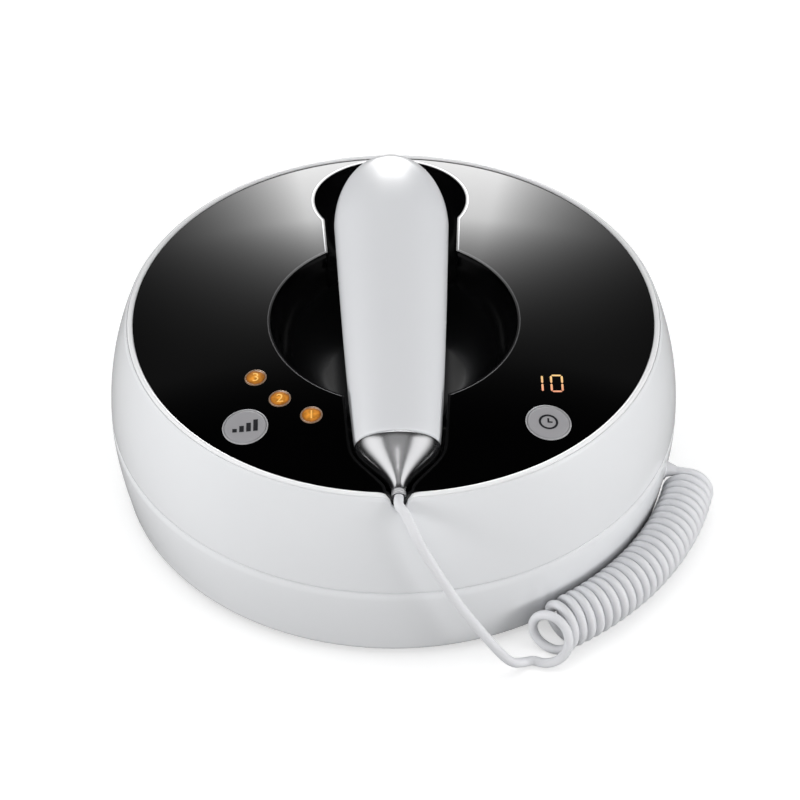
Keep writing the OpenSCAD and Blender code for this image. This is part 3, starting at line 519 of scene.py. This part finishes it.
# black lining of the notch: a thin sheet over its edge that narrows outward in plan
liner = {"half": 4.7, "points": 61, "rise": 0.06, "thick": 0.16, "back": -90.4, "front": -94.15,
         "pointHalf": 2.3, "pointDeep": 2.4, "rows": 8}
linerX = np.linspace(-liner["half"], liner["half"], liner["points"])
linerZ = notchHeight(linerX) + liner["rise"]
linerAcross = np.concatenate([linerX, linerX[::-1]])
linerUp = np.concatenate([linerZ, linerZ[::-1] + liner["thick"]])
linerFront = liner["front"] + np.clip(np.abs(linerAcross) - liner["pointHalf"], 0, liner["pointDeep"])
linerY = liner["back"] + (linerFront - liner["back"]) * np.linspace(0, 1, liner["rows"])[:, None]
gridPiece("notchLiner", np.stack([linerAcross + 0 * linerY, linerY, linerUp + 0 * linerY], -1),
          materials["trayBlack"], "base")
print("base shells made")

# black top, cradle and rests
domeNormals(solidCopy("top_panel", materials["topBlack"], "base", sharp=30, name="blackTop"))
flushLip(solidCopy("cradle_tray", materials["trayBlack"], "base", sharp=30, name="cradleMoulding"))
solidCopy("front_rest_pad", materials["padBlack"], "base", name="frontRest")
solidCopy("rear_rest_pad", materials["padBlack"], "base", name="rearRest")

# glossy edge round the recess: slot places are Y and half width, curved up to the ninth
lip = {"bowlR": 43.3, "bowlY": -9.6, "rearR": 28.0, "rearY": 62.0, "front": -90.6, "round": 0.75,
       "wide": 0.93, "up": 0.04, "inside": 0.04, "wallDeep": 2.2, "outDeep": 0.6, "keelIn": 0.2,
       "curved": 9, "slotSteps": 6, "samples": 1400, "nearSteps": 70, "bowlSteps": 120, "farSteps": 30,
       "rearSteps": 80, "sharp": 60}
slotPlaces = np.array([[-96, 4.2], [-90, 4.3], [-86.7, 6.2], [-82.5, 9.8], [-79, 12.7], [-76, 14.6],
                       [-72, 15.9], [-62.3, 16.7], [-49.4, 17.5], [26.6, 23.1], [48.2, 24.3]])


def inCircle(x, y, middle, radius):
    return np.flatnonzero(x ** 2 + (y - middle) ** 2 < radius ** 2)


def arc(middle, radius, angles):
    return np.stack([radius * np.cos(angles), middle + radius * np.sin(angles)], -1)


def recessEdge():
    # plan of the recess: slot edge, bowl arc, slot edge, rear arc, then the same mirrored
    knots = np.vstack([slotPlaces[:1], slotPlaces[:lip["curved"] + 1]])[:, ::-1]
    slot = np.vstack([smoothLine(knots, lip["slotSteps"]), slotPlaces[lip["curved"]:, ::-1]])
    y = np.linspace(lip["front"], slotPlaces[-1, 0], lip["samples"])
    x = np.interp(y, slot[:, 1], slot[:, 0])
    inBowl = inCircle(x, y, lip["bowlY"], lip["bowlR"])
    first, last = inBowl[0], inBowl[-1]
    back = inCircle(x, y, lip["rearY"], lip["rearR"])[0]
    bowlFrom, bowlTo = (np.arctan2(y[k] - lip["bowlY"], x[k]) for k in (first, last))
    rearFrom = np.arctan2(y[back] - lip["rearY"], x[back])
    near = np.linspace(0, first - 1, lip["nearSteps"]).astype(int)
    far = np.linspace(last + 1, back - 1, lip["farSteps"]).astype(int)
    right = np.vstack([np.stack([x[near], y[near]], -1),
                       arc(lip["bowlY"], lip["bowlR"], np.linspace(bowlFrom, bowlTo, lip["bowlSteps"])),
                       np.stack([x[far], y[far]], -1),
                       arc(lip["rearY"], lip["rearR"], np.linspace(rearFrom, pi / 2, lip["rearSteps"]))])
    return np.vstack([right, (right * [-1, 1])[-2::-1]])


def recessLip():
    # rounded inner corner and flat land round the recess, each kept at its height above the dome
    edge = recessEdge()
    heading = np.gradient(edge, axis=0)
    heading /= np.linalg.norm(heading, axis=1, keepdims=True)
    out = np.stack([heading[:, 1], -heading[:, 0]], -1)
    rounding = np.stack([lip["round"] * (1 - np.cos(quarter)) - lip["inside"],
                         lip["up"] - lip["round"] * (1 - np.sin(quarter))], -1)
    profile = np.vstack([[[-lip["inside"], -lip["wallDeep"]]], rounding,
                         [[lip["wide"], lip["up"]], [lip["wide"], -lip["outDeep"]],
                          [lip["keelIn"], -lip["wallDeep"]]]])
    plan = edge[:, None] + out[:, None] * profile[None, :, :1]
    z = domeHeight(plan[..., 0], plan[..., 1]) + profile[None, :, 1]
    gridPiece("recessLip", np.concatenate([plan, z[..., None]], -1), materials["lipBlack"], "base",
              lip["sharp"])


recessLip()

# buttons: shallow dished caps in their rings
buttons = {"ring": 72.2, "level": 225, "time": 315, "capR": 7.14, "capUp": 0.4, "edge": 0.9,
           "edgeDrop": 0.5, "dish": 0.18, "dishFrom": 0.02, "dishRings": 14, "rimIn": 7.2, "rimOut": 7.8,
           "rimUp": 0.25, "foot": -3.2, "ringBead": 0.3, "sides": 96}


def roundBowl(radius, angle):
    # place at this distance and angle from the middle of the finger bowl
    return np.array([radius * np.cos(radians(angle)), lip["bowlY"] + radius * np.sin(radians(angle))])


def onDome(middle, profile, sides):
    # rings round a point of the dome: each keeps its height above the dome, not above the table
    a = circleAngles(sides)
    profile = np.asarray(profile, float)
    x = middle[0] + profile[:, 0, None] * np.cos(a)
    y = middle[1] + profile[:, 0, None] * np.sin(a)
    return np.stack([x, y, domeHeight(x, y) + profile[:, 1, None]], -1)


def dishTop(q):
    # dish whose depth falls off with the fourth power of the share q of its radius
    return buttons["capUp"] - buttons["dish"] * (1 - q ** 2) ** 2


def buttonCap(name, node, middle):
    # the dish, then a rolled edge and a straight side
    flat = buttons["capR"] - buttons["edge"]
    q = np.linspace(buttons["dishFrom"], 1, buttons["dishRings"])
    roll = np.stack([flat + buttons["edge"] * np.sin(quarter),
                     buttons["capUp"] - buttons["edgeDrop"] * (1 - np.cos(quarter))], -1)
    foot = [[buttons["capR"], buttons["foot"]]]
    profile = np.vstack([np.stack([q * flat, dishTop(q)], -1), roll[1:], foot])
    piece = gridPiece(name, onDome(middle, profile, buttons["sides"]), materials["buttonGrey"], node)
    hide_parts(node)


def panelRing(name, node, middle, inner, outer, finish="ringGrey"):
    # half-round bead between two radii, sunk into the top
    t = np.linspace(0, pi, 13)
    mid, half = (inner + outer) / 2, (outer - inner) / 2
    bead = np.stack([mid - half * np.cos(t), buttons["rimUp"] + buttons["ringBead"] * (np.sin(t) - 1)], -1)
    profile = np.vstack([[[inner, buttons["foot"]]], bead, [[outer, buttons["foot"]]]])
    piece = gridPiece(name, onDome(middle, profile, buttons["sides"]), materials[finish], "base",
                      ends="joined")
    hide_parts(node)


levelAt = roundBowl(buttons["ring"], buttons["level"])
timeAt = roundBowl(buttons["ring"], buttons["time"])
buttonCap("levelCap", "level_button", levelAt)
buttonCap("timeCap", "time_button", timeAt)
panelRing("levelRing", "level_button_rim", levelAt, buttons["rimIn"], buttons["rimOut"])
panelRing("timeRing", "time_button_rim", timeAt, buttons["rimIn"], buttons["rimOut"])

# level lamps, from the lowest level to the highest
lamps = {"count": 3, "ring": 55.8, "r": 3.2, "rim": 0.6, "up": 0.2, "crown": 0.15, "crownFrom": 0.03,
         "crownTo": 0.97, "crownRings": 12, "step": 14, "edgeDown": 0.05, "foot": -3, "sides": 64}
lampAngles = [buttons["level"] + lamps["step"] * (1 - i) for i in range(lamps["count"])]
lampAt = [roundBowl(lamps["ring"], angle) for angle in lampAngles]


def levelLamp(number, middle):
    # low crown, whose height falls with the square of the radius, in its rim
    centre = [*(middle * mm), float(domeHeight(*middle)) * mm]
    q = np.linspace(lamps["crownFrom"], lamps["crownTo"], lamps["crownRings"])
    profile = np.vstack([np.stack([q * lamps["r"], lamps["up"] + lamps["crown"] * (1 - q ** 2)], -1),
                         [[lamps["r"], lamps["up"] - lamps["edgeDown"]], [lamps["r"], lamps["foot"]]]])
    lens = gridPiece("lampLens%d" % number, onDome(middle, profile, lamps["sides"]),
                     lampMaterial("lampAmber%d" % number, centre, lamps["r"] * mm), "base")
    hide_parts("lamp_lens_%d" % number)
    panelRing("lampRing%d" % number, "lamp_rim_%d" % number, middle, lamps["r"], lamps["r"] + lamps["rim"],
              "lampTan")


for i, middle in enumerate(lampAt, 1):
    levelLamp(i, middle)


def markPiece(name, plates, middle, height, material, body):
    # flat plates (plate, corner, x and y) laid at the given height over the dome round a middle
    points = plates.reshape(-1, 2)
    faces = np.arange(len(points)).reshape(plates.shape[:2])
    plan = points + np.asarray(middle)
    z = domeHeight(plan[:, 0], plan[:, 1]) + height(np.hypot(*points.T))
    return makePiece(name, np.column_stack([plan, z]), [faces], material, body, facing=(0, 0, 1), sharp=180)


# plain signs on the buttons: four rising bars and a clock
icons = {"bars": 4, "barW": 1.55, "barStep": 2.35, "barLow": 1.6, "barRise": 1.15, "foot": -2.5,
         "clockR": 3.3, "clockW": 0.8, "clockSteps": 48, "hand": 0.65, "minute": 1.7, "hour": 1.4,
         "proud": 0.05}


def dishHeight(distance):
    # top of a button cap over the dome, with the mark just proud of it
    return dishTop(np.clip(distance / (buttons["capR"] - buttons["edge"]), 0, 1)) + icons["proud"]


def levelSign():
    i = np.arange(icons["bars"])
    left = (i - icons["bars"] / 2) * icons["barStep"] + (icons["barStep"] - icons["barW"]) / 2
    right, low = left + icons["barW"], icons["foot"] + 0 * i
    top = low + icons["barLow"] + icons["barRise"] * i
    bars = np.stack([[left, low], [right, low], [right, top], [left, top]]).transpose(2, 0, 1)
    markPiece("levelBars", bars, levelAt, dishHeight, materials["markDark"], "level_button")


def timeSign():
    a = np.linspace(0, 2 * pi, icons["clockSteps"] + 1)
    rim = np.stack([np.cos(a), np.sin(a)], -1)
    inner, outer = rim * (icons["clockR"] - icons["clockW"]), rim * icons["clockR"]
    face = np.stack([inner[:-1], outer[:-1], outer[1:], inner[1:]], 1)
    half = icons["hand"] / 2
    hands = np.array([[[-half, -half], [half, -half], [half, icons["minute"]], [-half, icons["minute"]]],
                      [[half, -half], [icons["hour"], -half], [icons["hour"], half], [half, half]]])
    markPiece("timeClock", np.concatenate([face, hands]), timeAt, dishHeight, materials["markDark"],
              "time_button")


levelSign()
timeSign()

# lit figures of the display, one and nought, in bars with cut ends
digits = {"at": (54.96, -42.29), "wide": 3.75, "high": 7.5, "stroke": 0.72, "gap": 0.16, "turn": 5.0,
          "lean": 0.09, "oneAt": -5.0, "up": 0.05, "low": (0.95, 0.40, 0.24), "top": (1.0, 0.66, 0.27),
          "reach": (-45.5, -39.5), "strength": 0.95}


def timeFigures():
    w, h, one = digits["wide"] / 2, digits["high"] / 2, digits["oneAt"]
    ends = np.array([[[-w, h], [w, h]], [[w, h], [w, 0]], [[w, 0], [w, -h]], [[w, -h], [-w, -h]],
                     [[-w, -h], [-w, 0]], [[-w, 0], [-w, h]], [[one, 0], [one, h]], [[one, -h], [one, 0]]])
    start, end = ends[:, 0], ends[:, 1]
    along = (end - start) / np.linalg.norm(end - start, axis=1, keepdims=True)
    side = np.stack([-along[:, 1], along[:, 0]], -1) * digits["stroke"] / 2
    start, end = start + along * digits["gap"], end - along * digits["gap"]
    cut = along * digits["stroke"] / 2
    corners = [start, start + cut - side, end - cut - side, end, end - cut + side, start + cut + side]
    turned = np.array(Matrix.Rotation(radians(digits["turn"]), 2)) @ [[1, digits["lean"]], [0, 1]]
    amber = glowMaterial("digitAmber", digits["low"], digits["top"], digits["reach"], digits["strength"])
    markPiece("timeFigures", np.stack(corners, 1) @ turned.T, digits["at"],
              lambda distance: digits["up"] + 0 * distance, amber, "base")


timeFigures()

# a plain figure over each lens
lampFigures = {"size": 5.4, "up": 0.4, "low": (0.95, 0.5, 0.1), "top": (1.0, 0.6, 0.16),
               "reach": (-60, -35), "strength": 0.95}
figureAmber = glowMaterial("lampFigure", lampFigures["low"], lampFigures["top"], lampFigures["reach"],
                           lampFigures["strength"])


def lampFigure(number, middle):
    # the figure made a mesh, centred on the lamp and laid at its height over the dome
    draft = bpy.data.curves.new("figure", "FONT")
    draft.body = str(number)
    draft.size = lampFigures["size"]
    draft.align_x, draft.align_y = "CENTER", "CENTER"
    holder = bpy.data.objects.new("figure", draft)
    scene.collection.objects.link(holder)
    mesh = bpy.data.meshes.new_from_object(holder)
    bpy.data.objects.remove(holder)
    places = np.zeros(3 * len(mesh.vertices))
    mesh.vertices.foreach_get("co", places)
    flat = places.reshape(-1, 3)[:, :2]
    plan = flat - (flat.max(0) + flat.min(0)) / 2 + middle
    z = domeHeight(plan[:, 0], plan[:, 1]) + lampFigures["up"]
    faces = [np.array([face.vertices[:]]) for face in mesh.polygons]
    makePiece("lampFigure%d" % number, np.column_stack([plan, z]), faces, figureAmber, "base",
              facing=(0, 0, 1), sharp=180)


for i, middle in enumerate(lampAt, 1):
    lampFigure(i, middle)
print("top made")

# handset: lengths run from the cable tip towards the head
hand = {"s0": 22.7, "headS": 130.0, "headLen": 36.5, "tailW": 14.5, "headW": 20.6, "tailUp": 8.2,
        "headUp": 13.0, "tailLow": 8.8, "headLow": 12.2, "risePower": 0.8, "split": -1.0, "splitUp": 0.02,
        "splitDown": -0.12, "tailSteps": [0, 0.05, 0.15, 0.35, 0.7], "bodyFrom": 1.4, "bodyRings": 90,
        "tailInsets": [0.55, 0.35, 0.2, 0.08, 0.02], "headRings": 60, "headStop": 0.02, "sides": 97,
        "lipIn": 0.985, "foldIn": 0.9, "coneEnd": 22.4, "coneRound": 0.5, "coneRings": 70, "coneSides": 160,
        "ferruleR": 2.5, "ferruleL": 2.0}


def halves(s):
    # half width and the heights above and below the axis at s: a power curve, closed by a quarter ellipse
    rise = np.clip((s - hand["s0"]) / (hand["headS"] - hand["s0"]), 0, 1) ** hand["risePower"]
    closing = np.sqrt(np.clip(1 - (np.clip(s - hand["headS"], 0, None) / hand["headLen"]) ** 2, 0, 1))
    return [(hand["tail" + side] + (hand["head" + side] - hand["tail" + side]) * rise) * closing
            for side in ("W", "Up", "Low")]


def inRow(grid):
    # handset's own frame (across, along, up) to the base's: tilted about X, then moved to the tip
    x, s, n = grid[..., 0], grid[..., 1], grid[..., 2]
    along, up = s * np.cos(tilt) - n * np.sin(tilt), s * np.sin(tilt) + n * np.cos(tilt)
    return np.stack([x, along, up], -1) + tip


def bodyHalf(upper):
    # half-ellipse sections from split line to split line, rounded over at the tail
    headAngles = np.linspace(0, pi / 2 - hand["headStop"], hand["headRings"])[1:]
    s = np.concatenate([hand["s0"] + np.array(hand["tailSteps"]),
                        np.linspace(hand["s0"] + hand["bodyFrom"], hand["headS"], hand["bodyRings"]),
                        hand["headS"] + hand["headLen"] * np.sin(headAngles)])
    inset = np.concatenate([hand["tailInsets"], np.zeros(len(s) - len(hand["tailInsets"]))])
    w, up, low = (half - inset for half in halves(s))
    n = hand["split"] + (hand["splitUp"] if upper else hand["splitDown"])
    start = np.arcsin(np.clip(n / low, -0.95, 0.95))[:, None]
    u = np.linspace(0, 1, hand["sides"])[None, :]
    if upper:
        a = start + (pi - 2 * start) * u
        z = np.where(np.sin(a) > 0, up[:, None], low[:, None]) * np.sin(a)
    else:
        a = start - (pi + 2 * start) * u
        z = low[:, None] * np.sin(a)
    return np.stack([w[:, None] * np.cos(a), s[:, None] + 0 * a, z], -1)


def closedHalf(name, node, upper):
    # the half shell with its long edges folded inward
    grid = bodyHalf(upper)
    fold = grid[:, [0, -1]] * [hand["lipIn"], 1, 1]
    inner = fold * [hand["foldIn"], 1, 1]
    grid = np.concatenate([inner[:, :1], fold[:, :1], grid, fold[:, 1:], inner[:, 1:]], 1)
    piece = gridPiece(name, inRow(grid), materials["handsetShadedWhite"], "handset")
    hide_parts(node)


closedHalf("handsetUpper", "handset_upper_shell", True)
closedHalf("handsetLower", "handset_lower_shell", False)


def coneSwell(s):
    # half a cosine wave from the ferrule's radius to the body's halves
    q = np.clip((s - hand["ferruleL"]) / (hand["coneEnd"] - hand["ferruleL"]), 0, 1)
    return (1 - np.cos(pi * q)) / 2


def tailCone():
    roundFrom = hand["coneEnd"] - hand["coneRound"]
    s = np.concatenate([np.linspace(hand["ferruleL"], roundFrom, hand["coneRings"]),
                        roundFrom + hand["coneRound"] * np.sin(quarter[1:])])
    inset = np.concatenate([np.zeros(hand["coneRings"]), hand["coneRound"] * (1 - np.cos(quarter[1:]))])
    a = circleAngles(hand["coneSides"])
    w, up, low = (hand["ferruleR"] + (hand["tail" + side] - hand["ferruleR"]) * coneSwell(s)[:, None]
                  - inset[:, None] for side in ("W", "Up", "Low"))
    grid = np.stack([w * np.cos(a), s[:, None] + 0 * a, np.where(np.sin(a) > 0, up, low) * np.sin(a)], -1)
    cone = gridPiece("tailCone", inRow(grid), materials["coneSilver"], "handset")
    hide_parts("tail_cone")


tailCone()

# ferrule: an open mouth and two rounded beads, as radius and length along the handset
ferrule = {"mouth": [[1.75, 1.2], [1.8, 0.5], [2.05, 0.0]], "frontR": 2.2, "frontOut": 0.42,
           "frontHalf": 0.45, "backR": 2.15, "backOut": 0.35, "backFrom": 1.05, "backHalf": 0.425,
           "end": [[2.3, 2.0], [1.75, 2.0]], "beadSteps": 9, "sides": 96}


def tailFerrule():
    t = np.linspace(0, pi, ferrule["beadSteps"])
    front = np.stack([ferrule["frontR"] + ferrule["frontOut"] * np.sin(t),
                      ferrule["frontHalf"] * (1 - np.cos(t))], -1)
    back = np.stack([ferrule["backR"] + ferrule["backOut"] * np.sin(t),
                     ferrule["backFrom"] + ferrule["backHalf"] * (1 - np.cos(t))], -1)
    profile = np.vstack([ferrule["mouth"], front, back, ferrule["end"]])
    a = circleAngles(ferrule["sides"])
    r, s = profile[:, 0, None], profile[:, 1, None]
    piece = gridPiece("tailFerrule", inRow(np.stack([r * np.cos(a), s + 0 * a, r * np.sin(a)], -1)),
                      materials["ferruleChrome"], "handset", ends="joined")
    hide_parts("tail_ferrule")


tailFerrule()
solidCopy("head_collar", materials["coneSilver"], "handset", sharp=30, name="headCollar")
solidCopy("treatment_plate", materials["plateMetal"], "handset", sharp=30, name="treatmentPlate")
for i in range(1, 7):
    solidCopy("electrode_%d" % i, materials["studMetal"], "handset", sharp=30, name="electrodeStud%d" % i)
print("handset made")

# solids that keep their own mesh
dressed = {
    "boardGreen": ["level_board", "time_board", "main_board", "handset_board"],
    "partBlack": ["level_switch", "time_switch", "buzzer", "power_jack"],
    "ledAmber": ["lamp_led_1", "lamp_led_2", "lamp_led_3"],
    "displayDark": ["display_module"],
    "coreBronze": ["transformer"],
    "sinkMetal": ["heat_sink"],
    "chokeCopper": ["rf_choke"],
    "glandGrey": ["cord_gland"],
    "footRubber": ["foot_1", "foot_2", "foot_3", "foot_4"],
    "screwSteel": ["shell_screw_1", "shell_screw_2", "shell_screw_3", "shell_screw_4"],
    "sensorGrey": ["skin_sensor"]}
for key, names in dressed.items():
    for node in names:
        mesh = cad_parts[node].data
        mesh.materials.clear()
        mesh.materials.append(materials[key])

# floor: seen by the camera it glows to white and keeps the shadow, for all else it is darker
room = {"floor": 6.0, "floorTone": 0.72, "floorBounce": 0.42, "floorGlow": 0.46, "floorRough": 0.7,
        "floorShine": 0.1, "worldFill": 0.42, "worldGloss": 0.005}


def stageCard(name, corners, material, facing):
    # one flat face that is not part of the object: four corners in metres
    piece = makePiece(name, np.array(corners) / mm, [np.array([[0, 1, 2, 3]])], material, None, facing)
    return piece


def paleFloor():
    f = room["floor"]
    material = bpy.data.materials.new("floorPale")
    nodes, links = treeOf(material)
    stageCard("floor", [(-f, -f, 0), (f, -f, 0), (f, f, 0), (-f, f, 0)], material, (0, 0, 1))
    shader = nodes["Principled BSDF"]
    shader.inputs["Roughness"].default_value = room["floorRough"]
    shader.inputs["Specular IOR Level"].default_value = room["floorShine"]
    shader.inputs["Emission Color"].default_value = (1, 1, 1, 1)
    path = nodes.new("ShaderNodeLightPath")
    glow = nodes.new("ShaderNodeMath")
    glow.operation = "MULTIPLY"
    glow.inputs[1].default_value = room["floorGlow"]
    links.new(path.outputs["Is Camera Ray"], glow.inputs[0])
    links.new(glow.outputs[0], shader.inputs["Emission Strength"])
    tone = toneMix(nodes, links, path.outputs["Is Camera Ray"], (room["floorBounce"],) * 3,
                   (room["floorTone"],) * 3)
    links.new(tone, shader.inputs["Base Color"])


def studioWorld():
    # white for the camera and through clear parts, nearly black in mirrors, a soft fill for all else
    world = bpy.data.worlds.new("studio")
    scene.world = world
    nodes, links = treeOf(world)
    background = nodes["Background"]
    background.inputs["Color"].default_value = (1, 1, 1, 1)
    path = nodes.new("ShaderNodeLightPath")
    seen = nodes.new("ShaderNodeMath")
    seen.operation = "MAXIMUM"
    mirrored = nodes.new("ShaderNodeMix")
    mirrored.inputs[3].default_value = room["worldGloss"]
    links.new(path.outputs["Is Camera Ray"], seen.inputs[0])
    links.new(path.outputs["Is Transmission Ray"], seen.inputs[1])
    plain = mapped(nodes, links, seen.outputs[0], room["worldFill"], 1.0)
    links.new(path.outputs["Is Glossy Ray"], mirrored.inputs[0])
    links.new(plain.outputs["Result"], mirrored.inputs[2])
    links.new(mirrored.outputs[0], background.inputs["Strength"])


paleFloor()
studioWorld()

# softboxes: place and aim in metres, size in metres, power in watts
softboxes = {
    "keyBox": {"place": (0, 0.0, 1.7), "aim": (0, 0, 0.05), "size": (1.8, 1.1), "power": 8.6},
    "leftBox": {"place": (-1.7, -0.7, 0.3), "aim": (0, 0, 0.03), "size": (0.9, 0.5), "power": 18.0},
    "rightBox": {"place": (1.7, -0.7, 0.3), "aim": (0, 0, 0.03), "size": (0.9, 0.5), "power": 17.0},
    "frontBox": {"place": (0, -1.9, 0.9), "aim": (0, 0, 0.03), "size": (2.2, 0.8), "power": 3.6}}


def softbox(name, place, aim, size, power):
    light = bpy.data.lights.new(name, "AREA")
    light.shape = "RECTANGLE"
    light.size, light.size_y = size
    light.energy = power
    box = bpy.data.objects.new(name, light)
    scene.collection.objects.link(box)
    box.location = place
    box.rotation_euler = (Vector(aim) - Vector(place)).to_track_quat("-Z", "Y").to_euler()
    box.visible_glossy = False


for name, sizes in softboxes.items():
    softbox(name, **sizes)


def glowCard(name, corners, materialName, facing):
    # a card the camera never sees, with the nodes that its glow is wired from and to
    material = bpy.data.materials.new(materialName)
    nodes, links = treeOf(material)
    nodes.remove(nodes["Principled BSDF"])
    place = nodes.new("ShaderNodeTexCoord")
    split = nodes.new("ShaderNodeSeparateXYZ")
    emit = nodes.new("ShaderNodeEmission")
    links.new(place.outputs["Object"], split.inputs[0])
    links.new(emit.outputs[0], nodes["Material Output"].inputs["Surface"])
    card = stageCard(name, corners, material, facing)
    card.visible_camera = card.visible_diffuse = False
    return card, nodes, links, split, emit


# cards for the silver tail: one along each side and two overhead, their glow rising with height
sheenRise = (0.4, 0.85)
sheens = {"left": ((-1.25, -0.65, 0.4), (-1.25, 0.9, 0.4), (-0.46, 0.35, 1.2), (-0.46, -0.65, 1.2), 1.2),
          "right": ((1.25, 0.75, 0.4), (1.25, -0.65, 0.4), (0.46, -0.65, 1.2), (0.46, 0.35, 1.2), 1.15),
          "over": ((-0.45, -0.7, 1.7), (-0.45, 0.7, 1.7), (0.45, 0.7, 1.7), (0.45, -0.7, 1.7), 0.36),
          "streak": ((-0.06, -0.5, 1.6), (-0.06, -0.15, 1.6), (0.06, -0.15, 1.6), (0.06, -0.5, 1.6), 1.8)}
for name, (*corners, strength) in sheens.items():
    card, nodes, links, split, emit = glowCard(name + "Card", corners, name + "Sheen", (0, 0, -1))
    card.visible_shadow = card.visible_transmission = False
    rising = nodes.new("ShaderNodeMapRange")
    rising.interpolation_type = "SMOOTHSTEP"
    rising.inputs["From Min"].default_value, rising.inputs["From Max"].default_value = sheenRise
    rising.inputs["To Max"].default_value = strength
    links.new(split.outputs[2], rising.inputs["Value"])
    links.new(rising.outputs["Result"], emit.inputs["Strength"])

# card behind the object that the black top mirrors: glow = 10 ^ (peak - fall upward - fall sideways)
back = {"y": 1.3, "half": 1.1, "low": 0.02, "top": 2.1, "peak": 0.94, "riseFrom": 0.72, "riseFall": 2.4,
        "sideFrom": 0.17, "sideFall": 4.2, "sideShift": 0.035, "sideEase": 1.3}


def backCard():
    half = back["half"]
    corners = [(-half, back["y"], back["low"]), (half, back["y"], back["low"]),
               (half, back["y"], back["top"]), (-half, back["y"], back["top"])]
    card, nodes, links, split, emit = glowCard("backCard", corners, "cardGlow", (0, -1, 0))

    def arithmetic(operation, first, second=None, clamp=False):
        # one node of the glow's sum; a number is set on its socket, an output is wired to it
        node = nodes.new("ShaderNodeMath")
        node.operation = operation
        node.use_clamp = clamp
        for socket, value in zip(node.inputs, (first, second)):
            if isinstance(value, (int, float)):
                socket.default_value = value
            elif value is not None:
                links.new(value, socket)
        return node.outputs[0]

    upward = arithmetic("MAXIMUM", arithmetic("SUBTRACT", split.outputs[2], back["riseFrom"]), 0.0)
    off = arithmetic("ABSOLUTE", arithmetic("SUBTRACT", split.outputs[0], back["sideShift"]))
    aside = arithmetic("MAXIMUM", arithmetic("SUBTRACT", off, back["sideFrom"]), 0.0)
    fade = arithmetic("SUBTRACT", 1.0, arithmetic("MULTIPLY", upward, back["sideEase"]), clamp=True)
    risen = arithmetic("SUBTRACT", back["peak"], arithmetic("MULTIPLY", upward, back["riseFall"]))
    fallen = arithmetic("MULTIPLY", arithmetic("MULTIPLY", aside, back["sideFall"]), fade)
    power = arithmetic("SUBTRACT", risen, fallen)
    links.new(arithmetic("POWER", 10.0, power), emit.inputs["Strength"])


backCard()
scene.view_settings.view_transform = "Standard"

print("scene ready")
